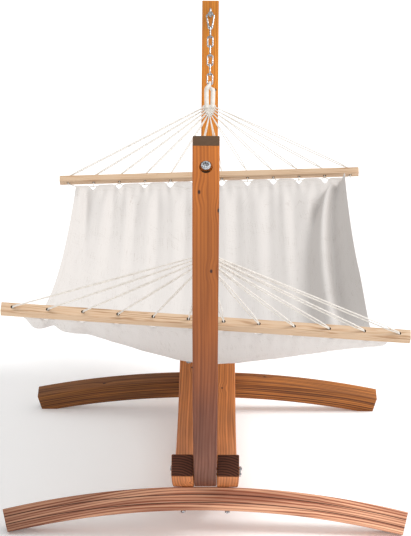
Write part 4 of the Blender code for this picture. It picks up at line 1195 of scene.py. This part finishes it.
def cloth_surface(x, y):
    """Height of the cloth: parabola, trough, slope of the bars, then the folds one by one."""
    share = y / hem_y
    bow = 1 - share ** 2
    rise = np.where(x < 0, CLOTH_LEFT_RISE, CLOTH_RIGHT_RISE) * (np.abs(x) / 0.5) ** TROUGH_POWER
    slope = math.tan(BAR_ROLL[-1]) * (1 - share) / 2 + math.tan(BAR_ROLL[1]) * (1 + share) / 2
    from_rear, from_front = edge_y - y, y + edge_y
    folds = (gathers(x, from_rear, 0.7, 0.0095, 0.60) + gathers(x, from_front, 2.9, 0.003, 0.20)
             + right_folds(x, from_rear) + left_fold(x, from_rear) + front_swags(x, from_front))
    lift = HEM_LIFT * (np.exp(-from_rear / 0.05) + np.exp(-from_front / 0.05))
    return hem_z - CLOTH_SAG * bow + rise * bow - slope * x + folds + lift


print("notches", NOTCH_DEPTH * 1000, "mm deep,", len(cloth_x), "columns and", len(row_y), "rows")

# %% [markdown]
# The surface is sampled on a grid whose rows lie close together at the hems. At a notch those rows draw
# back. The hem is folded cloth with a sleeve at its edge, and the sides are turned in, so the two faces
# stand further apart there. The lengths along the grid are the places on the flat cloth, which the
# weave follows.

# %% The cloth's mesh
grid_x, nominal_y = np.meshgrid(cloth_x, row_y)
from_hem = edge_y - np.abs(nominal_y)
notched = notch_depth(grid_x)
retreat = notched * np.clip(1 - from_hem / BLEND_DEPTH, 0, 1)
grid_y = nominal_y - np.sign(nominal_y) * retreat
top = np.stack([grid_x, grid_y, cloth_surface(grid_x, grid_y)], -1)
for _ in range(2):
    top[:, 1:-1, 2] = (top[:, :-2, 2] + 2 * top[:, 1:-1, 2] + top[:, 2:, 2]) / 4
across_step, along_step = np.gradient(top, axis=1), np.gradient(top, axis=0)
cloth_normal = unit(np.cross(across_step, along_step))
true_from_hem = edge_y - np.abs(grid_y)
sleeve = 0.0046 * np.exp(-((true_from_hem - 0.0075) / 0.0045) ** 2) * (notched < 0.5 * NOTCH_DEPTH)
band = 0.0009 * (1 - smooth_step(true_from_hem, HEM_BAND, HEM_BAND + 0.003))
side_band = 0.0007 * smooth_step(np.abs(grid_x), cloth_half - 0.014, cloth_half - 0.011)
extra = (sleeve + band + side_band)[..., None] / 2
half_thick = (CLOTH_THICKNESS / 2 + extra) * cloth_normal
top_face, bottom_face = top + half_thick, top - half_thick

cloth = mesh_of("hammock_cloth_canvas", [sheet_shell(top_face, bottom_face)])
run = np.stack([lengths_along(top[:, k]) for k in range(len(cloth_x))], 1)
wide = np.stack([lengths_along(row) for row in top])
cut = np.stack([wide, run, 0 * run], -1)
store_vectors(cloth.data, "cut", np.concatenate([cut, cut]))
finish_piece(cloth, [canvas], "bed", ["hammock_cloth"], 70)
flat_width, flat_length = float(wide[:, -1].mean()), float(run[-1].mean())
print("the cloth is", round(flat_width, 3), "m wide and", round(flat_length, 3), "m long along its folds")

# %% [markdown]
# The hem cord leaves the bar's end hole, runs through the sleeve, shows in each notch, where its own
# cord loop lifts it, and goes back into the hole at the other end. It lies in the cloth's surface.
# Every other loop is short and pulls it to a peak, and the rest let it run nearly straight.

# %% Hem cords
CORD_RADIUS, HEM_CORD_RADIUS = 0.0019, 0.0018
LAY_LENGTH, LAY_STEPS = 0.014, 12
IN_SLEEVE = 0.0075
cord_step = LAY_LENGTH / LAY_STEPS


def laid_cord(path, radius, reference, phase=0.0):
    """Six points round each ring, three on the lobes and three between them, turning as they go."""
    turn = np.arange(len(path)) * math.tau / LAY_STEPS / 3 + phase
    angle = turn[:, None] + np.arange(6) * math.tau / 6
    lobes = radius * np.where(np.arange(6) % 2 == 0, 1.04, 0.86)
    outline = np.stack([lobes * np.cos(angle), lobes * np.sin(angle)], -1)
    return tube(path, 1.0, reference, outline=outline)


def on_cloth(x, side, from_edge):
    """A place in the cloth's surface, some way in from its edge at that end."""
    y = side * (edge_y - from_edge)
    return np.array([x, y, float(cloth_surface(np.array(x), np.array(y)))])


def hem_peak(number, side):
    """Where a loop holds the hem cord, pulled out of the sleeve by its own amount."""
    return on_cloth(HOLE_PLACES[number], side, IN_SLEEVE - (0.012 if number % 2 == 0 else 0.003))


for end, side in SIDES.items():
    bar = bar_axes(side)
    ends = [placed(np.array([[hole, BAR_THICKNESS / 2 + out, 0] for out in (-0.006, 0.003)]), bar)
            for hole in HOLE_PLACES[[0, -1]]]
    points = [*ends[0], on_cloth(-cloth_half - 0.004, side, 0.0),
              on_cloth(-cloth_half + 0.012, side, IN_SLEEVE)]
    for number in range(1, BAR_HOLES - 1):
        hole, half = HOLE_PLACES[number], NOTCH_COLUMNS * column
        points += [on_cloth(hole - half, side, IN_SLEEVE), hem_peak(number, side),
                   on_cloth(hole + half, side, IN_SLEEVE)]
    points += [on_cloth(cloth_half - 0.012, side, IN_SLEEVE), on_cloth(cloth_half + 0.004, side, 0.0),
               *ends[1][::-1]]
    path = smoothed(resample(np.array(points), cord_step), 8)
    add_cord(f"hem_cord_{end}", [laid_cord(path, HEM_CORD_RADIUS, bar[:3, 2])])
print("hem cords", round(float(lengths_along(path)[-1]), 2), "m long")

# %% [markdown]
# Below the binding twelve doubled cords run side by side and are woven across, and from the sides of
# that knot they leave one after another, the outer ones first, to fan out to the bar. Each cord goes
# through its hole, round the hem cord of the cloth and back, so a pair is one long loop. A cord's
# section has three lobes that turn along it, one turn each 14 mm, drawn a little longer than real.

# %% Harness cords
KNOT_PITCH = 0.0034
WEAVE_ROW = 0.0062
FIRST_LEAVES, LEAVES_EVERY = 0.12, 0.15      # shares of the knot's length
LOOP_RADIUS = HEM_CORD_RADIUS + CORD_RADIUS + 0.0001


def cord_loop(number, root, bar, side):
    """The way of one doubled cord, in the bar's axes: down one side, round the hem cord, and back."""
    rank = min(number, BAR_HOLES - 1 - number)
    column = root[0] + (number - (BAR_HOLES - 1) / 2) * KNOT_PITCH
    leave = root[1] - KNOT_LENGTH * (1 - FIRST_LEAVES - LEAVES_EVERY * rank)
    hole = HOLE_PLACES[number]
    entry = -BAR_THICKNESS / 2 - 0.0015
    if 0 < number < BAR_HOLES - 1:
        peak = (hem_peak(number, side) - bar[:3, 3]) @ bar[:3, :3]
    else:
        peak = np.array([hole, BAR_THICKNESS / 2 + 0.007, 0])
    stations = np.array([[column, root[1] - KNOT_LENGTH, 0], [column, leave, 0], [hole, entry, 0],
                         [hole, BAR_THICKNESS / 2, 0], peak])
    middle = smoothed(resample(stations, cord_step), 10)
    s = lengths_along(middle)
    in_knot = s[np.argmin(np.abs(middle[:, 1] - leave))]
    at_bar = s[np.argmin(np.abs(middle[:, 1] - entry))]
    row = middle[:, 1] - (root[1] - KNOT_LENGTH)
    weave = 0.0032 + 0.0011 * np.cos(math.pi * (row / WEAVE_ROW + number))
    outside = np.interp(s, [in_knot, in_knot + 0.03, (in_knot + at_bar) / 2, at_bar - 0.03, at_bar,
                            s[-1] - 0.012, s[-1]],
                        [0.0028, 0.0012, 0.0, 0.0012, 0.0018, 0.0018, LOOP_RADIUS])
    depth = np.where(s < in_knot, weave, outside)
    widest = 0.0046 if hole > 0 else 0.0024
    apart = np.interp(s, [in_knot, in_knot + 0.05, (in_knot + at_bar) / 2, at_bar - 0.04, at_bar],
                      [0, 0.0018, widest, 0.8 * widest, 0])
    heading = unit(stations[2] - stations[1])
    beside = np.array([heading[1], -heading[0], 0])
    offset = smoothed(depth[:, None] * [0, 0, 1.0] + apart[:, None] * beside, 8)
    turn = np.radians(np.linspace(90, -90, 13))[1:-1]
    bend = peak + np.stack([0 * turn, LOOP_RADIUS * np.cos(turn), LOOP_RADIUS * np.sin(turn)], -1)
    there_and_back = np.concatenate([middle + offset, bend, (middle - offset)[::-1]])
    return smoothed(resample(there_and_back, cord_step), 2)


def weft_ring(row, half_width, root):
    """A flat loop round all the columns, in and out between them on both faces."""
    x = np.linspace(-half_width, half_width, 60)
    face = np.stack([x, 0.0032 - 0.0012 * np.cos(math.pi * (row + x / KNOT_PITCH))], -1)
    turn = arc(half_width, 0, 0.0030, 90, -90, 8)[1:-1]
    loop = np.concatenate([face, turn, face[::-1] * [1, -1], turn[::-1] * [-1, 1]])
    return in_depth(loop, root[1] - KNOT_LENGTH + (row + 0.5) * WEAVE_ROW) + [root[0], 0, 0]


for end, side in SIDES.items():
    bar = bar_axes(side)
    knot_end = swing_point(side) + KNOT_END * down_line(side)
    root = (knot_end - bar[:3, 3]) @ bar[:3, :3]
    loops = [placed(cord_loop(number, root, bar, side), bar) for number in range(BAR_HOLES)]
    add_cord(f"harness_{end}_laid_cords", [laid_cord(loop, CORD_RADIUS, bar[:3, 0], 0.7 * number)
                                           for number, loop in enumerate(loops)], "harness_cords_" + end)
    wefts = []
    for row in range(int(KNOT_LENGTH / WEAVE_ROW)):
        share = (row + 0.5) * WEAVE_ROW / KNOT_LENGTH
        left_out = max(0.0, (share - FIRST_LEAVES) / LEAVES_EVERY)
        half_width = KNOT_PITCH * (BAR_HOLES / 2 + 0.1 - left_out)
        if half_width < KNOT_PITCH:
            break
        path = placed(weft_ring(row, half_width, root), bar)
        wefts.append(tube(path, CORD_RADIUS * 0.95, bar[:3, 1], 8, closed=True))
    add_cord(f"knot_{end}_cross_cords", wefts)
print(2 * BAR_HOLES, "cord loops, lay", LAY_LENGTH * 1000, "mm")

# %% [markdown]
# The hems are sewn with a straight row of stitches. One stitch is a small grain, thick in its middle,
# and all of them are made at once: their places come from the cloth's own grid, a little above it.

# %% Stitches
STITCH_LENGTH, STITCH_SPACING, STITCH_RADIUS, STITCH_LIFT = 0.0034, 0.0052, 0.0004, 0.0002
SEAM_ROW = int(np.argmin(np.abs(near_rows - 0.030)))     # the cloth's row 30 mm in from the hem's edge
SIDE_SEAM = 2                                            # the third column from each side


def stitch_rows(path, normal):
    """Grains along a path: five rings of six points, whose radius is the root of 1 - s squared."""
    length = lengths_along(path)
    starts = np.arange(STITCH_SPACING, length[-1] - STITCH_SPACING, STITCH_SPACING)
    centre = at_lengths(starts, length, path)
    heading = unit(at_lengths(starts + 0.001, length, path) - centre)
    raised = unit(at_lengths(starts, length, normal))
    s = np.array([-0.97, -0.6, 0, 0.6, 0.97])
    outline = (STITCH_RADIUS * np.sqrt(1 - s ** 2))[:, None, None] * circle(6)
    places = centre[:, None] + (s * STITCH_LENGTH / 2)[:, None] * heading[:, None]
    return [ring_shell(rings_along(place, beside[None], up_axis[None], outline))
            for place, beside, up_axis in zip(places, np.cross(raised, heading), raised)]


seams = []
for line in (np.s_[SEAM_ROW], np.s_[-1 - SEAM_ROW], np.s_[:, SIDE_SEAM], np.s_[:, -1 - SIDE_SEAM]):
    seams += stitch_rows(top_face[line] + STITCH_LIFT * cloth_normal[line], cloth_normal[line])
finish_piece(mesh_of("cloth_seams", seams), [stitch_cotton], "bed", (), 80)
print(len(seams), "stitches")

# %% [markdown]
# The cloth was cut 1.10 by 2.22 m, gathers and folds drawn flat; that stands beside its size as drawn.

print("declared 1.10 by 2.22 m flat, against", round(flat_width, 3), "by", round(flat_length, 3), "as drawn")

# %% [markdown]
# A white floor and white surroundings stand for a studio sweep. The surroundings look white, but they
# light the object less than that. A broad, soft lamp high on the right throws the shadow of the cloth
# to the left, and a weaker one in front lifts the faces of the timber.

# %% Floor and light
floor_corners = np.array([[-40, -40, 0], [40, -40, 0], [40, 60, 0], [-40, 60, 0]], float)
floor_mesh = bpy.data.meshes.new("floor")
floor_mesh.from_pydata(floor_corners.tolist(), [], [(0, 1, 2, 3)])
floor = bpy.data.objects.new("floor", floor_mesh)
bpy.context.collection.objects.link(floor)
floor_paint, _, _ = new_material("matt_white_floor", Base_Color=linear("#fefefe"), Roughness=0.95,
                                Emission_Color=linear("#ffffff"), Emission_Strength=0.11)
floor_mesh.materials.append(floor_paint)

WORLD_LIGHT = 0.75          # what lights the object. The camera itself sees the surroundings as white
world = bpy.data.worlds.new("studio")
world.use_nodes = True
seen = add_node(world.node_tree, "LightPath").outputs["Is Camera Ray"]
strength = add_node(world.node_tree, "Math.MULTIPLY_ADD", seen, 1 - WORLD_LIGHT, WORLD_LIGHT)
set_inputs(world.node_tree.nodes["Background"], Color=(1.0, 1.0, 1.0, 1.0), Strength=strength)
bpy.context.scene.world = world


def add_sun(name, strength, spread, towards):
    """A lamp far away. Its apparent width in degrees sets how soft its shadows are."""
    lamp = bpy.data.lights.new(name, "SUN")
    lamp.energy = strength
    lamp.angle = math.radians(spread)
    sun = bpy.data.objects.new(name, lamp)
    backwards = -unit(np.array(towards, float))
    across = unit(np.cross([0.1, 1.0, 0.2], backwards))
    sun.matrix_world = axes_at(np.zeros(3), across, np.cross(backwards, across), backwards).T.tolist()
    bpy.context.collection.objects.link(sun)


add_sun("soft_key_high_right", 2.15, 30, (-0.80, 0.2, -1.0))
add_sun("front_fill", 0.25, 40, (0.15, 1.0, -0.25))
print("lit by", len(bpy.data.lights), "lamps and the surroundings at", WORLD_LIGHT)
